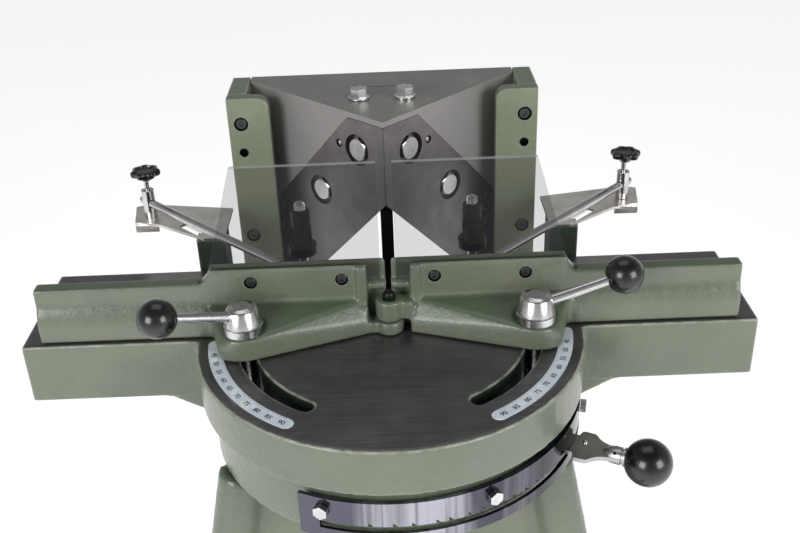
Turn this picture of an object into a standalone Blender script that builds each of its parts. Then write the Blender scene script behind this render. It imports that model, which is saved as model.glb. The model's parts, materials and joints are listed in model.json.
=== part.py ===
"""Foot-operated double-mitre guillotine for picture-frame mouldings.

Metres, +Z up. The floor is Z = 0. X = Y = 0 is the vertical axis of the pin that both
fences swing about. +X is the operator's right, -Y is the operator's side.
"""

import math

import bmesh
import bpy
from mathutils import Matrix, Vector

MM = 0.001
SIDES = (("left", -1.0), ("right", 1.0))
GAP = 0.3 * MM                 # between pieces that touch
RUN = 0.5 * MM                 # between pieces that slide or turn on each other
LAP = 1.0 * MM                 # how far joined shapes reach into each other

# ---------------------------------------------------------------- driving sizes
TABLE_Z = 860 * MM             # table top above the floor
WING_HALF = 320 * MM           # table half width
WING_FRONT = -5.5 * MM
WING_BACK = 124 * MM
WING_THICK = 57 * MM
DISC_R = 167 * MM
DISC_THICK = 42 * MM
SKIRT_R = 158 * MM             # ring under the disc that carries the index plate
SKIRT_WALL = 18 * MM
SKIRT_DROP = 92 * MM           # bottom of the skirt below the table top

FENCE_LENGTH = 303 * MM
FENCE_BACK = 18.5 * MM         # face that the moulding lies against
FENCE_WALL = 14.5 * MM
FENCE_LEDGE = 6 * MM           # step of the front face
FENCE_LEDGE_H = 25 * MM
FENCE_LOW_H = 50 * MM
FENCE_HIGH_H = 63 * MM
FENCE_HIGH_END = 152 * MM
FENCE_GAP_HALF = 2.2 * MM      # half of the gap between the two fences
KNUCKLE_R = 12 * MM
KNUCKLE_SPLIT = 13 * MM
KNUCKLE_TOP = 33 * MM
PIN_R = 4.8 * MM
RECESS_END = 18 * MM           # thick wall stops here, clear of the knuckle
CLAMP_R = 125 * MM             # radius of the clamp slot
CLAMP_REST = math.radians(12)  # clamp bolt angle in front of the X axis
CLAMP_STUD_R = 5 * MM
CLAMP_SLOT_W = 13 * MM
CLAMP_PLAY = math.radians(7)   # clamp slot past the bolt with the fences square
SCALE_R = 151 * MM
SCALE_W = 12 * MM
SCALE_T = 0.9 * MM
SCALE_START = math.radians(-57.5)
SCALE_END = math.radians(-4.5)
BOSS_R = 17.5 * MM             # flat under the clamp hub
BOSS_H = 21.5 * MM
FOOT_FRONT = 43 * MM
FOOT_H = 13 * MM               # upright front edge of the foot
FOOT_WALL_H = 30 * MM          # height where the foot runs into the wall
FOOT_END = 156 * MM
FOOT_CORNER_X = 131 * MM
FOOT_CORNER_R = 14 * MM

GUARD_THICK = 5 * MM
GUARD_SEAT = 43.6 * MM         # bottom edge of the guard above the table
GUARD_TOP = 153.5 * MM
GUARD_INNER = 6.6 * MM
GUARD_TOP_OUT = 125 * MM
GUARD_LOW_OUT = 158 * MM

HUB_R = 16.5 * MM
HUB_TOP_R = 13.2 * MM
HUB_H = 24 * MM
LEVER_R = 72 * MM              # clamp ball from the clamp axis
LEVER_RISE = 14.5 * MM         # clamp ball above the hub's top
CLAMP_BALL_R = 16 * MM
LEVER_ANGLE = {"left": math.radians(214), "right": math.radians(1)}

HEAD_TOP = 148 * MM            # above the table top
HEAD_HALF = 133 * MM
HEAD_DEPTH = 14 * MM           # flat back strip behind the ends of the V
HEAD_APEX = 115 * MM           # V apex behind the pin axis
HEAD_ROOF = 80 * MM            # underside at the apex
HEAD_LOW = -60 * MM            # underside at the outer ends
CARRIAGE_TRAVEL = 90 * MM
KNIFE_W = 87 * MM
KNIFE_T = 8 * MM
KNIFE_EDGE = 65.7 * MM         # cutting edge at the apex
KNIFE_SPAN = 178 * MM          # extent of the knife along its face
KNIFE_TOP = 142 * MM           # level where the knives are cut off, above the table
KNIFE_LOW = -58 * MM           # lowest corner of the knives
BOLT_AF = 21 * MM
BOLT_HEAD = 6.4 * MM
CBORE_R = 15.5 * MM
CBORE_DEPTH = 7 * MM
KNIFE_BOLTS = ((36 * MM, 112 * MM), (91 * MM, 56 * MM), (148 * MM, 0))   # along, height
TOP_BOLT = (22 * MM, 183 * MM)

CHEEK_IN = 111 * MM
CHEEK_OUT = 152 * MM
CHEEK_FRONT = 195 * MM
GIB_THICK = 13 * MM
GIB_CORNER_R = 10 * MM
CHEEK_LOW = -190 * MM
CROSS_DEPTH = 26 * MM
RAIL_H = 34 * MM
RAIL_FRONT = 98 * MM

COLUMN_R = 20 * MM
COLUMN_FOOT_R = 27 * MM
NECK_HALF = 133 * MM           # column axes at the top of the pedestal
NECK_FRONT = -60 * MM
BASE_HALF = 271 * MM           # column axes at the floor
BASE_FRONT = -175 * MM
BASE_BACK = 300 * MM
BASE_T = 14 * MM
SHELL = 12 * MM
WINDOW_HALF = 60 * MM
WINDOW_H = 470 * MM

BAR_W = 12 * MM
BAR_D = 14 * MM
PIVOT_Y = 230 * MM
PIVOT_Z = 200 * MM
PIVOT_R = 12 * MM
ROLLER_REACH = 230 * MM        # roller from the pedal's pivot
ROLLER_R = 8 * MM
ROLLER_PLAY = 3 * MM
PEDAL_REACH = 560 * MM
PEDAL_TILT = math.radians(1)
ARM_W = 16 * MM
ARM_H = 34 * MM

INDEX_R = 166 * MM
INDEX_TOP = -50 * MM
INDEX_H = 39 * MM
INDEX_T = 3 * MM
INDEX_START = math.radians(-117)
INDEX_END = math.radians(-8)
INDEX_SLOT_Z = -76 * MM
INDEX_SLOT_H = 7 * MM
INDEX_REST = math.radians(-25.5)
INDEX_BALL_R = 20 * MM
INDEX_REACH = 230 * MM
LEVER_T = 4 * MM
LEVER_W = 24 * MM
PIVOT_STUD_R = 8.6 * MM

BLOCK_TOP = 32 * MM
PLATE_T = 3 * MM
ROD_Z = 50 * MM
ROD_R = 4 * MM
ROD_OFFSET = 58.6 * MM         # |X| - Y along the support rod
ROD_OUT_Y = 186 * MM
ROD_IN_Y = 36 * MM
PILLAR_Y = 178 * MM
PILLAR_R = 6.2 * MM
PILLAR_H = 28 * MM
KNOB_R = 15.5 * MM
KNOB_H = 11 * MM
SPINDLE_R = 2.6 * MM
SPINDLE_SHOW = 11 * MM

REST_X = 78 * MM
REST_Y = 84 * MM
REST_LOW = 36 * MM             # underside of the sleeve's flange
SLEEVE_R = 8.8 * MM
SLEEVE_H = 34 * MM
FLANGE_R = 13 * MM
FLANGE_H = 9 * MM
STEM_R = 4 * MM
STUD_TIP_R = 5 * MM
STUD_TIP_H = 8 * MM

# ---------------------------------------------------------------- derived places
HEAD_Z = TABLE_Z + HEAD_TOP
CHEEK_BACK = HEAD_APEX + HEAD_HALF + HEAD_DEPTH
BAR_Y = HEAD_APEX + BAR_W / 2 + (KNIFE_T + GAP) * math.sqrt(2) + BAR_D / 2
SLOT_BACK = FENCE_BACK - (FENCE_WALL - GUARD_THICK) / 2
GUARD_Y = SLOT_BACK - GUARD_THICK / 2 - 0.6 * MM
SKIRT_Z = TABLE_Z - SKIRT_DROP
RAIL_TOP = TABLE_Z + CHEEK_LOW - GAP
NECK_Z = RAIL_TOP - RAIL_H - GAP

for old in list(bpy.data.objects):
    bpy.data.objects.remove(old, do_unlink=True)
PARTS = bpy.data.collections.new("mitre_guillotine")
GUIDES = bpy.data.collections.new("guides")
bpy.context.scene.collection.children.link(PARTS)
bpy.context.scene.collection.children.link(GUIDES)

FINISH = {
    "green_paint": ((0.235, 0.285, 0.215), 0.45, 0.1),
    "dark_green": ((0.07, 0.10, 0.075), 0.5, 0.1),
    "machined_iron": ((0.16, 0.155, 0.16), 0.4, 0.8),
    "bright_steel": ((0.62, 0.62, 0.64), 0.25, 1.0),
    "knife_steel": ((0.3, 0.29, 0.29), 0.3, 1.0),
    "black_steel": ((0.03, 0.03, 0.035), 0.4, 0.6),
    "black_plastic": ((0.012, 0.012, 0.014), 0.2, 0.0),
    "clear_acrylic": ((0.8, 0.83, 0.84), 0.05, 0.0),
    "scale_white": ((0.75, 0.8, 0.82), 0.4, 0.0),
}


# ---------------------------------------------------------------- tools
def material(slot):
    """The Principled material of one finish, made once."""
    found = bpy.data.materials.get(slot)
    if found:
        return found
    colour, rough, metal = FINISH[slot]
    made = bpy.data.materials.new(slot)
    made.use_nodes = True
    shader = made.node_tree.nodes["Principled BSDF"]
    shader.inputs["Base Color"].default_value = (*colour, 1.0)
    shader.inputs["Roughness"].default_value = rough
    shader.inputs["Metallic"].default_value = metal
    return made


def solid(bm):
    """A work object from a bmesh, with its faces pointing out."""
    bmesh.ops.recalc_face_normals(bm, faces=bm.faces)
    mesh = bpy.data.meshes.new("shape")
    bm.to_mesh(mesh)
    bm.free()
    shape = bpy.data.objects.new("shape", mesh)
    PARTS.objects.link(shape)
    return shape


def box(low, high):
    """An axis-aligned box between two corners."""
    low, high = Vector(low), Vector(high)
    bm = bmesh.new()
    bmesh.ops.create_cube(bm, size=1.0)
    bmesh.ops.scale(bm, vec=high - low, verts=bm.verts)
    bmesh.ops.translate(bm, vec=(high + low) / 2, verts=bm.verts)
    return solid(bm)


def rod(start, end, radius, end_radius=None, sides=24):
    """A cylinder or cone from one point to another."""
    start, end = Vector(start), Vector(end)
    bm = bmesh.new()
    top = radius if end_radius is None else end_radius
    bmesh.ops.create_cone(bm, cap_ends=True, segments=sides, radius1=radius, radius2=top,
                          depth=(end - start).length)
    turn = (end - start).to_track_quat("Z", "Y").to_matrix().to_4x4()
    bmesh.ops.transform(bm, matrix=Matrix.Translation((start + end) / 2) @ turn, verts=bm.verts)
    return solid(bm)


def ball(centre, radius):
    bm = bmesh.new()
    bmesh.ops.create_uvsphere(bm, u_segments=20, v_segments=12, radius=radius)
    bmesh.ops.translate(bm, vec=Vector(centre), verts=bm.verts)
    return solid(bm)


def hull(points):
    """The convex solid around some points."""
    bm = bmesh.new()
    for point in points:
        bm.verts.new(point)
    bmesh.ops.convex_hull(bm, input=bm.verts)
    loose = [vert for vert in bm.verts if not vert.link_faces]
    bmesh.ops.delete(bm, geom=loose, context="VERTS")
    bmesh.ops.dissolve_limit(bm, angle_limit=math.radians(0.5), verts=bm.verts, edges=bm.edges)
    return solid(bm)


def prism(outline, low, high, axis="Z"):
    """An outline pulled along Z, or an X-Z outline pulled along Y."""
    bm = bmesh.new()
    if axis == "Z":
        verts = [bm.verts.new((a, b, low)) for a, b in outline]
        push = Vector((0, 0, high - low))
    else:
        verts = [bm.verts.new((a, low, b)) for a, b in outline]
        push = Vector((0, high - low, 0))
    face = bm.faces.new(verts)
    pulled = bmesh.ops.extrude_face_region(bm, geom=[face])
    moved = [item for item in pulled["geom"] if isinstance(item, bmesh.types.BMVert)]
    bmesh.ops.translate(bm, vec=push, verts=moved)
    return solid(bm)


def arc_band(inner, outer, start, end, low, high, steps):
    """Part of a flat ring, with square ends."""
    turns = [start + (end - start) * step / steps for step in range(steps + 1)]
    outside = [(outer * math.cos(turn), outer * math.sin(turn)) for turn in turns]
    inside = [(inner * math.cos(turn), inner * math.sin(turn)) for turn in reversed(turns)]
    return prism(outside + inside, low, high)


def arc_slot(radius, width, start, end, low, high, steps=16):
    """A curved slot with round ends."""
    half = width / 2
    turns = [start + (end - start) * step / steps for step in range(steps + 1)]
    outline = [((radius + half) * math.cos(t), (radius + half) * math.sin(t)) for t in turns]
    for tip, first in ((end, 0.0), (start, math.pi)):
        centre = (radius * math.cos(tip), radius * math.sin(tip))
        for step in range(1, 6):
            turn = tip + first + math.pi * step / 6
            outline.append((centre[0] + half * math.cos(turn), centre[1] + half * math.sin(turn)))
        if first == 0.0:
            outline += [((radius - half) * math.cos(t), (radius - half) * math.sin(t))
                        for t in reversed(turns)]
    return prism(outline, low, high)


def combine(base, operation, others):
    """Join or cut work objects, which are used up."""
    for other in others:
        step = base.modifiers.new("step", "BOOLEAN")
        step.operation = operation
        step.solver = "EXACT"
        step.object = other
        graph = bpy.context.evaluated_depsgraph_get()
        mesh = bpy.data.meshes.new_from_object(base.evaluated_get(graph))
        base.modifiers.clear()
        base.data = mesh
        bpy.data.objects.remove(other, do_unlink=True)
    return base


def join(base, *others):
    return combine(base, "UNION", others)


def cut(base, *others):
    return combine(base, "DIFFERENCE", others)


def place(shape, name, slot, parent=None):
    """Name a finished sub-part, give it its finish and hang it on its joint's empty."""
    bm = bmesh.new()
    bm.from_mesh(shape.data)
    bmesh.ops.remove_doubles(bm, verts=bm.verts, dist=0.002 * MM)
    bmesh.ops.dissolve_degenerate(bm, edges=bm.edges, dist=0.002 * MM)
    bm.to_mesh(shape.data)
    bm.free()
    shape.name = name
    shape.data.name = name
    shape.data.materials.clear()
    shape.data.materials.append(material(slot))
    shape.data.shade_smooth()
    shape.data.set_sharp_from_angle(angle=math.radians(35))
    if parent:
        shape.data.transform(parent.matrix_world.inverted())
        shape.parent = parent
    return shape


def axis_empty(name, point, parent=None):
    """An empty on a joint's axis."""
    guide = bpy.data.objects.new(name, None)
    GUIDES.objects.link(guide)
    guide.hide_render = True
    guide.matrix_world = Matrix.Translation(point)
    if parent:
        guide.parent = parent
        guide.location = Vector(point) - parent.matrix_world.translation
    bpy.context.view_layer.update()
    return guide


def flip(points, side):
    """Mirror plan points to one side."""
    return [(side * x, y) for x, y in points]


def hexagon(centre, axis, flats, length):
    """A hexagon head standing on a point along an axis."""
    start = Vector(centre)
    return rod(start, start + Vector(axis) * length, flats / math.sqrt(3), sides=6)


# ---------------------------------------------------------------- stand
def make_pedestal():
    """Tapered casting with two round front columns, a neck and the floor plate."""
    foot = BASE_T - LAP

    def ring(grow, z, x_half, front, back):
        return [(sx * (x_half + grow), y, z)
                for sx in (-1, 1) for y in (front - grow, back + grow)]

    def at(z):
        """Column axis in plan at a height."""
        share = z / SKIRT_Z
        return (BASE_HALF + (NECK_HALF - BASE_HALF) * share,
                BASE_FRONT + (NECK_FRONT - BASE_FRONT) * share)

    neck_top = SKIRT_Z - GAP
    low_x, low_y = at(foot)
    mid_x, mid_y = at(NECK_Z)
    top_x, top_y = at(neck_top)
    body = hull(ring(0, foot, low_x, low_y, BASE_BACK) + ring(0, NECK_Z, mid_x, mid_y, BASE_BACK))
    hollow = hull(ring(-SHELL, BASE_T, low_x, low_y, BASE_BACK)
                  + ring(-SHELL, NECK_Z + LAP, mid_x, mid_y, BASE_BACK))
    neck = hull(ring(0, NECK_Z - LAP, mid_x, mid_y, RAIL_FRONT - 12 * MM)
                + ring(0, neck_top, top_x, top_y, RAIL_FRONT - 12 * MM))
    neck_hollow = hull(ring(-SHELL, NECK_Z - 3 * LAP, mid_x, mid_y, RAIL_FRONT - 12 * MM)
                       + ring(-SHELL, neck_top + LAP, top_x, top_y, RAIL_FRONT - 12 * MM))
    deck_half = CHEEK_OUT + 10 * MM
    rim = []
    for side in (-1, 1):
        rim.append(box((min(side * (CHEEK_IN - 8 * MM), side * deck_half), RAIL_FRONT - 20 * MM,
                        NECK_Z - 16 * MM),
                       (max(side * (CHEEK_IN - 8 * MM), side * deck_half), BASE_BACK - LAP,
                        NECK_Z)))
    columns = []
    for side in (-1, 1):
        columns.append(rod((side * BASE_HALF, BASE_FRONT, foot - LAP),
                           (side * NECK_HALF, NECK_FRONT, neck_top - 6 * MM),
                           COLUMN_FOOT_R, COLUMN_R))
    plate = box((-BASE_HALF - COLUMN_FOOT_R, BASE_FRONT - COLUMN_FOOT_R, 0),
                (BASE_HALF + COLUMN_FOOT_R, BASE_BACK + COLUMN_FOOT_R, BASE_T))
    window = box((-WINDOW_HALF, BASE_FRONT - 0.2, BASE_T + 20 * MM),
                 (WINDOW_HALF, 0, WINDOW_H))
    chute = box((-NECK_HALF + 30 * MM, 0.1, BASE_T + 20 * MM),
                (NECK_HALF - 30 * MM, BASE_BACK + 0.1, NECK_Z - 60 * MM))
    back_gap = box((-CHEEK_IN + 14 * MM, 0.0, NECK_Z - 0.15),
                   (CHEEK_IN - 14 * MM, BASE_BACK + 0.1, TABLE_Z))
    shell = cut(join(body, neck, *columns), hollow, neck_hollow)
    shell = join(shell, *rim)
    shell = cut(shell, window, chute, back_gap)
    return place(join(shell, plate), "pedestal", "green_paint")


def make_table():
    """Wings, round front, skirt and webs, with the clamp slots and the knife opening."""
    wing = box((-WING_HALF, WING_FRONT, TABLE_Z - WING_THICK), (WING_HALF, WING_BACK, TABLE_Z))
    disc = rod((0, 0, TABLE_Z - DISC_THICK), (0, 0, TABLE_Z), DISC_R, sides=72)
    skirt = arc_band(SKIRT_R - SKIRT_WALL, SKIRT_R, math.radians(-190), math.radians(10), SKIRT_Z,
                     TABLE_Z - DISC_THICK + LAP, 40)
    window_z = TABLE_Z + INDEX_SLOT_Z
    window = arc_band(SKIRT_R - SKIRT_WALL - LAP, SKIRT_R + LAP, INDEX_START + math.radians(5),
                      INDEX_END - math.radians(3), window_z - INDEX_SLOT_H / 2 - LAP,
                      window_z + INDEX_SLOT_H / 2 + LAP, 40)
    table = join(wing, disc, cut(skirt, window))
    for side in (-1, 1):
        web_in, web_out = side * (SKIRT_R - SKIRT_WALL + 2 * MM), side * (SKIRT_R - 2 * MM)
        web = box((min(web_in, web_out), 0, SKIRT_Z),
                  (max(web_in, web_out), RAIL_FRONT - 12 * MM, TABLE_Z - WING_THICK + LAP))
        gusset = prism([(side * (SKIRT_R - 8 * MM), SKIRT_Z + 6 * MM),
                        (side * (SKIRT_R + 46 * MM), TABLE_Z - WING_THICK + LAP),
                        (side * (SKIRT_R - 8 * MM), TABLE_Z - WING_THICK + LAP)],
                       WING_FRONT + 3 * MM, WING_FRONT + 60 * MM, "Y")
        table = join(table, web, gusset)
    apex = HEAD_APEX - CARRIAGE_TRAVEL - 6 * MM
    notch_y = CHEEK_FRONT - CARRIAGE_TRAVEL - 6 * MM
    notch_x = CHEEK_OUT + 5 * MM
    vee = notch_y - apex
    back = WING_BACK + 0.1
    opening = prism([(0, apex), (vee, notch_y), (notch_x, notch_y), (notch_x, back),
                     (-notch_x, back), (-notch_x, notch_y), (-vee, notch_y)],
                    TABLE_Z - 0.2, TABLE_Z + 0.1)
    table = cut(table, opening)
    for name, side in SIDES:
        slot_turn = (SCALE_START, CLAMP_PLAY - CLAMP_REST)
        scale_turn = (SCALE_START, SCALE_END)
        if side < 0:
            slot_turn = (math.pi - slot_turn[1], math.pi - slot_turn[0])
            scale_turn = (math.pi - scale_turn[1], math.pi - scale_turn[0])
        seat = arc_slot(SCALE_R, SCALE_W + 2 * GAP, *scale_turn, TABLE_Z - SCALE_T - GAP,
                        TABLE_Z + 0.01)
        slot = arc_slot(CLAMP_R, CLAMP_SLOT_W, *slot_turn, TABLE_Z - 0.06, TABLE_Z + 0.01)
        bore = rod((side * REST_X, REST_Y, TABLE_Z - 40 * MM),
                   (side * REST_X, REST_Y, TABLE_Z + 0.01), STEM_R + RUN)
        table = cut(table, slot, seat, bore)
        scale = arc_slot(SCALE_R, SCALE_W, *scale_turn, TABLE_Z - SCALE_T, TABLE_Z + 0.1 * MM)
        place(scale, f"scale_{name}", "scale_white")
    pin_hole = rod((0, 0, TABLE_Z - 25 * MM), (0, 0, TABLE_Z + 0.01), PIN_R + GAP)
    return place(cut(table, pin_hole), "table", "green_paint")


def make_hinge_pin():
    shaft = rod((0, 0, TABLE_Z - 24 * MM), (0, 0, TABLE_Z + KNUCKLE_TOP + LAP), PIN_R)
    dome = ball((0, 0, TABLE_Z + KNUCKLE_TOP + 2.2 * MM), 5.2 * MM)
    skim = box((-0.02, -0.02, TABLE_Z + KNUCKLE_TOP - 20 * MM),
               (0.02, 0.02, TABLE_Z + KNUCKLE_TOP + GAP))
    return place(join(shaft, cut(dome, skim)), "hinge_pin", "black_steel")


def make_index_plate():
    """Curved strip with a long slot and saw notches, and its three bolts."""
    top, bottom = TABLE_Z + INDEX_TOP, TABLE_Z + INDEX_TOP - INDEX_H
    inner = INDEX_R - INDEX_T
    strip = arc_band(inner, INDEX_R, INDEX_START, INDEX_END, bottom, top, 44)
    slot_z = TABLE_Z + INDEX_SLOT_Z
    slot = arc_band(inner - 0.01, INDEX_R + 0.01, INDEX_START + math.radians(6),
                    INDEX_END - math.radians(4), slot_z - INDEX_SLOT_H / 2,
                    slot_z + INDEX_SLOT_H / 2, 40)
    strip = cut(strip, slot)
    spacer = arc_band(SKIRT_R + GAP, inner + LAP / 2, INDEX_START + math.radians(2),
                      INDEX_END - math.radians(1), TABLE_Z - 62 * MM, TABLE_Z - 54 * MM, 40)
    place(join(strip, spacer), "index_plate", "bright_steel")
    for number, degrees in enumerate((-110, -63, -13)):
        turn = math.radians(degrees)
        outward = Vector((math.cos(turn), math.sin(turn), 0))
        foot = outward * (INDEX_R + GAP)
        foot.z = TABLE_Z - 61 * MM
        place(hexagon(foot, outward, 11 * MM, 5 * MM), f"index_bolt_{number + 1}",
              "bright_steel")


def make_rails():
    for name, side in SIDES:
        xs = sorted((side * CHEEK_IN, side * CHEEK_OUT))
        rail = box((xs[0], RAIL_FRONT, NECK_Z + GAP), (xs[1], BASE_BACK - 4 * MM, RAIL_TOP))
        place(rail, f"rail_{name}", "machined_iron")


def rod_point(side, y, z):
    """A point on the support rod's axis."""
    return Vector((side * (y + ROD_OFFSET), y, TABLE_Z + z))


def make_rest_mounts():
    """Block, bracket plate and pillar that carry each support rod."""
    clear = CHEEK_OUT + 4 * MM
    for name, side in SIDES:
        xs = sorted((side * clear, side * 184 * MM))
        post = box((xs[0], WING_BACK + GAP, TABLE_Z - 40 * MM),
                   (xs[1], WING_BACK + 27 * MM, TABLE_Z + BLOCK_TOP))
        place(post, f"support_block_{name}", "dark_green")
        low = TABLE_Z + BLOCK_TOP + GAP
        outline = [(clear, 122 * MM), (176 * MM, 122 * MM), (224 * MM, 156 * MM),
                   (250 * MM, 163 * MM), (256 * MM, 200 * MM), (244 * MM, 205 * MM),
                   (clear, 188 * MM)]
        plate = prism(flip(outline, side), low, low + PLATE_T)
        slot = prism(flip([(178 * MM, 134 * MM), (183 * MM, 129 * MM), (205 * MM, 151 * MM),
                           (200 * MM, 156 * MM)], side), low - 0.01, low + 0.02)
        lip_x = sorted((side * 249 * MM, side * 226 * MM))
        lip = box((lip_x[0], 158.5 * MM, low - 6 * MM), (lip_x[1], 161.5 * MM, low + LAP))
        place(join(cut(plate, slot), lip), f"rest_bracket_{name}", "bright_steel")
        centre = rod_point(side, PILLAR_Y, 0)
        base = Vector((centre.x, centre.y, low + PLATE_T + GAP))
        pillar = rod(base, base + Vector((0, 0, PILLAR_H)), PILLAR_R)
        along = Vector((side, 1, 0)).normalized()
        through = rod_point(side, PILLAR_Y, ROD_Z)
        bore = rod(through - along * 0.05, through + along * 0.05, ROD_R + RUN)
        well = rod(base + Vector((0, 0, PILLAR_H - 8 * MM)),
                   base + Vector((0, 0, PILLAR_H + 0.01)), SPINDLE_R + GAP)
        place(cut(pillar, bore, well), f"rest_pillar_{name}", "bright_steel")


# ---------------------------------------------------------------- knife carriage and head
def make_carriage(slide):
    """Two upright cheeks joined low down at the back, each with a bolted front gib."""
    top = HEAD_Z
    low = TABLE_Z + CHEEK_LOW
    tongue = HEAD_HALF + RUN
    front = CHEEK_FRONT + GIB_THICK + GAP
    cheeks = []
    for side in (-1, 1):
        xs = sorted((side * tongue, side * CHEEK_OUT))
        wall = box((xs[0], front, low), (xs[1], CHEEK_BACK, top))
        xs = sorted((side * CHEEK_IN, side * CHEEK_OUT))
        foot = box((xs[0], front, low), (xs[1], CHEEK_BACK + 20 * MM, low + 48 * MM))
        cheeks.append(join(wall, foot))
    cross = box((-CHEEK_IN - 4 * MM, CHEEK_BACK - CROSS_DEPTH, low),
                (CHEEK_IN + 4 * MM, CHEEK_BACK, low + 46 * MM))
    place(join(cross, *cheeks), "carriage", "green_paint", slide)
    for name, side in SIDES:
        outline = [(side * CHEEK_IN, low), (side * CHEEK_OUT, low), (side * CHEEK_OUT, top)]
        for step in range(7):
            turn = math.radians(15 * step)
            outline.append((side * (CHEEK_IN + GIB_CORNER_R * (1 - math.sin(turn))),
                            top - GIB_CORNER_R * (1 - math.cos(turn))))
        gib = prism(outline, CHEEK_FRONT, CHEEK_FRONT + GIB_THICK, "Y")
        place(gib, f"gib_{name}", "green_paint", slide)


def face_point(side, along, z, out=0.0):
    """A point on a knife face: distance from the apex, height above the table, stand-off."""
    half = math.sqrt(0.5)
    return Vector((side * (along * half + out * half), HEAD_APEX + along * half - out * half,
                   TABLE_Z + z))


def make_head(slide):
    """V block with counterbored faces, two knives, their bolts and the draw bar."""
    outline = [(0, HEAD_APEX), (HEAD_HALF, HEAD_APEX + HEAD_HALF), (HEAD_HALF, CHEEK_BACK),
               (-HEAD_HALF, CHEEK_BACK), (-HEAD_HALF, HEAD_APEX + HEAD_HALF)]
    block = prism(outline, TABLE_Z + HEAD_LOW, HEAD_Z)
    run = (HEAD_ROOF - HEAD_LOW) / math.sqrt(2)
    roof = prism([(-run, HEAD_LOW + TABLE_Z - LAP), (run, HEAD_LOW + TABLE_Z - LAP),
                  (0, HEAD_ROOF + TABLE_Z)], 0.05, 0.4, "Y")
    block = cut(block, roof)
    hollow = box((-95 * MM, HEAD_APEX + 112 * MM, TABLE_Z + HEAD_LOW - 0.1),
                 (95 * MM, CHEEK_BACK + 0.1, TABLE_Z + 118 * MM))
    block = cut(block, hollow)
    recess_low, recess_high = KNIFE_EDGE - 30 * MM, KNIFE_EDGE + KNIFE_W * math.sqrt(2)
    for name, side in SIDES:
        def corner(along, z, out):
            return face_point(side, along, z - along, out)
        seat = hull([corner(u, z, d) for u in (-25 * MM, KNIFE_SPAN) for z in
                     (recess_low, recess_high) for d in (-KNIFE_T - GAP, 20 * MM)])
        block = cut(block, cut(seat, box((-1, 0, TABLE_Z + KNIFE_TOP + GAP), (1, 1, 2))))
        high = recess_high - GAP
        knife = hull([corner(u, z, d) for u in (-10 * MM, KNIFE_SPAN - GAP) for z, d in
                      ((KNIFE_EDGE, 0), (KNIFE_EDGE + 6 * MM, -KNIFE_T), (high, 0),
                       (high, -KNIFE_T))])
        xs = sorted((-side * 0.1, side * GAP / 2))
        knife = cut(knife, box((xs[0], 0, 0), (xs[1], 1, 2)),
                    box((-1, 0, 0), (1, 1, TABLE_Z + KNIFE_LOW)),
                    box((-1, 0, TABLE_Z + KNIFE_TOP), (1, 1, 2)))
        inward = Vector((side, -1, 0)).normalized() * -1
        bolts = []
        for along, height in KNIFE_BOLTS:
            centre = face_point(side, along, height)
            knife = cut(knife, rod(centre - inward * 0.01, centre + inward * CBORE_DEPTH,
                                   CBORE_R))
            bolts.append(hexagon(centre + inward * (CBORE_DEPTH - GAP), -inward, BOLT_AF,
                                 BOLT_HEAD))
        place(knife, f"knife_{name}", "knife_steel", slide)
        for number, bolt in enumerate(bolts):
            place(bolt, f"knife_bolt_{name}_{number + 1}", "bright_steel", slide)
    place(block, "knife_block", "machined_iron", slide)
    for name, side in SIDES:
        foot = Vector((side * TOP_BOLT[0], TOP_BOLT[1], HEAD_Z + GAP))
        washer = rod(foot, foot + Vector((0, 0, 1.6 * MM)), 10.5 * MM)
        head = hexagon(foot + Vector((0, 0, LAP)), (0, 0, 1), 15 * MM, 9 * MM)
        place(join(washer, head), f"head_bolt_{name}", "bright_steel", slide)


def make_draw_bar(slide):
    """Bar from the head down to the foot channel that the pedal's roller runs in."""
    foot_z = PIVOT_Z + ROLLER_REACH * math.sin(PEDAL_TILT)
    room = ROLLER_R + ROLLER_PLAY
    peak = TABLE_Z + HEAD_ROOF - GAP * math.sqrt(3)
    shoulder = peak - BAR_W / math.sqrt(2)
    bar = prism([(-BAR_W / 2, foot_z + room + LAP), (BAR_W / 2, foot_z + room + LAP),
                 (BAR_W / 2, shoulder), (0, peak), (-BAR_W / 2, shoulder)],
                BAR_Y - BAR_D / 2, BAR_Y + BAR_D / 2, "Y")
    reach_y = PIVOT_Y - ROLLER_REACH * math.cos(PEDAL_TILT)
    front = reach_y - 24 * MM
    back = BAR_Y + BAR_D / 2
    half = BAR_W / 2 + 4 * MM
    upper = box((-half, front, foot_z + room), (half, back, foot_z + room + 9 * MM))
    lower = box((-half, front, foot_z - room - 9 * MM), (half, back, foot_z - room))
    web = box((-half, back - 9 * MM, foot_z - room - LAP), (half, back, foot_z + room + LAP))
    place(join(bar, upper, lower, web), "draw_bar", "black_steel", slide)


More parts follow.
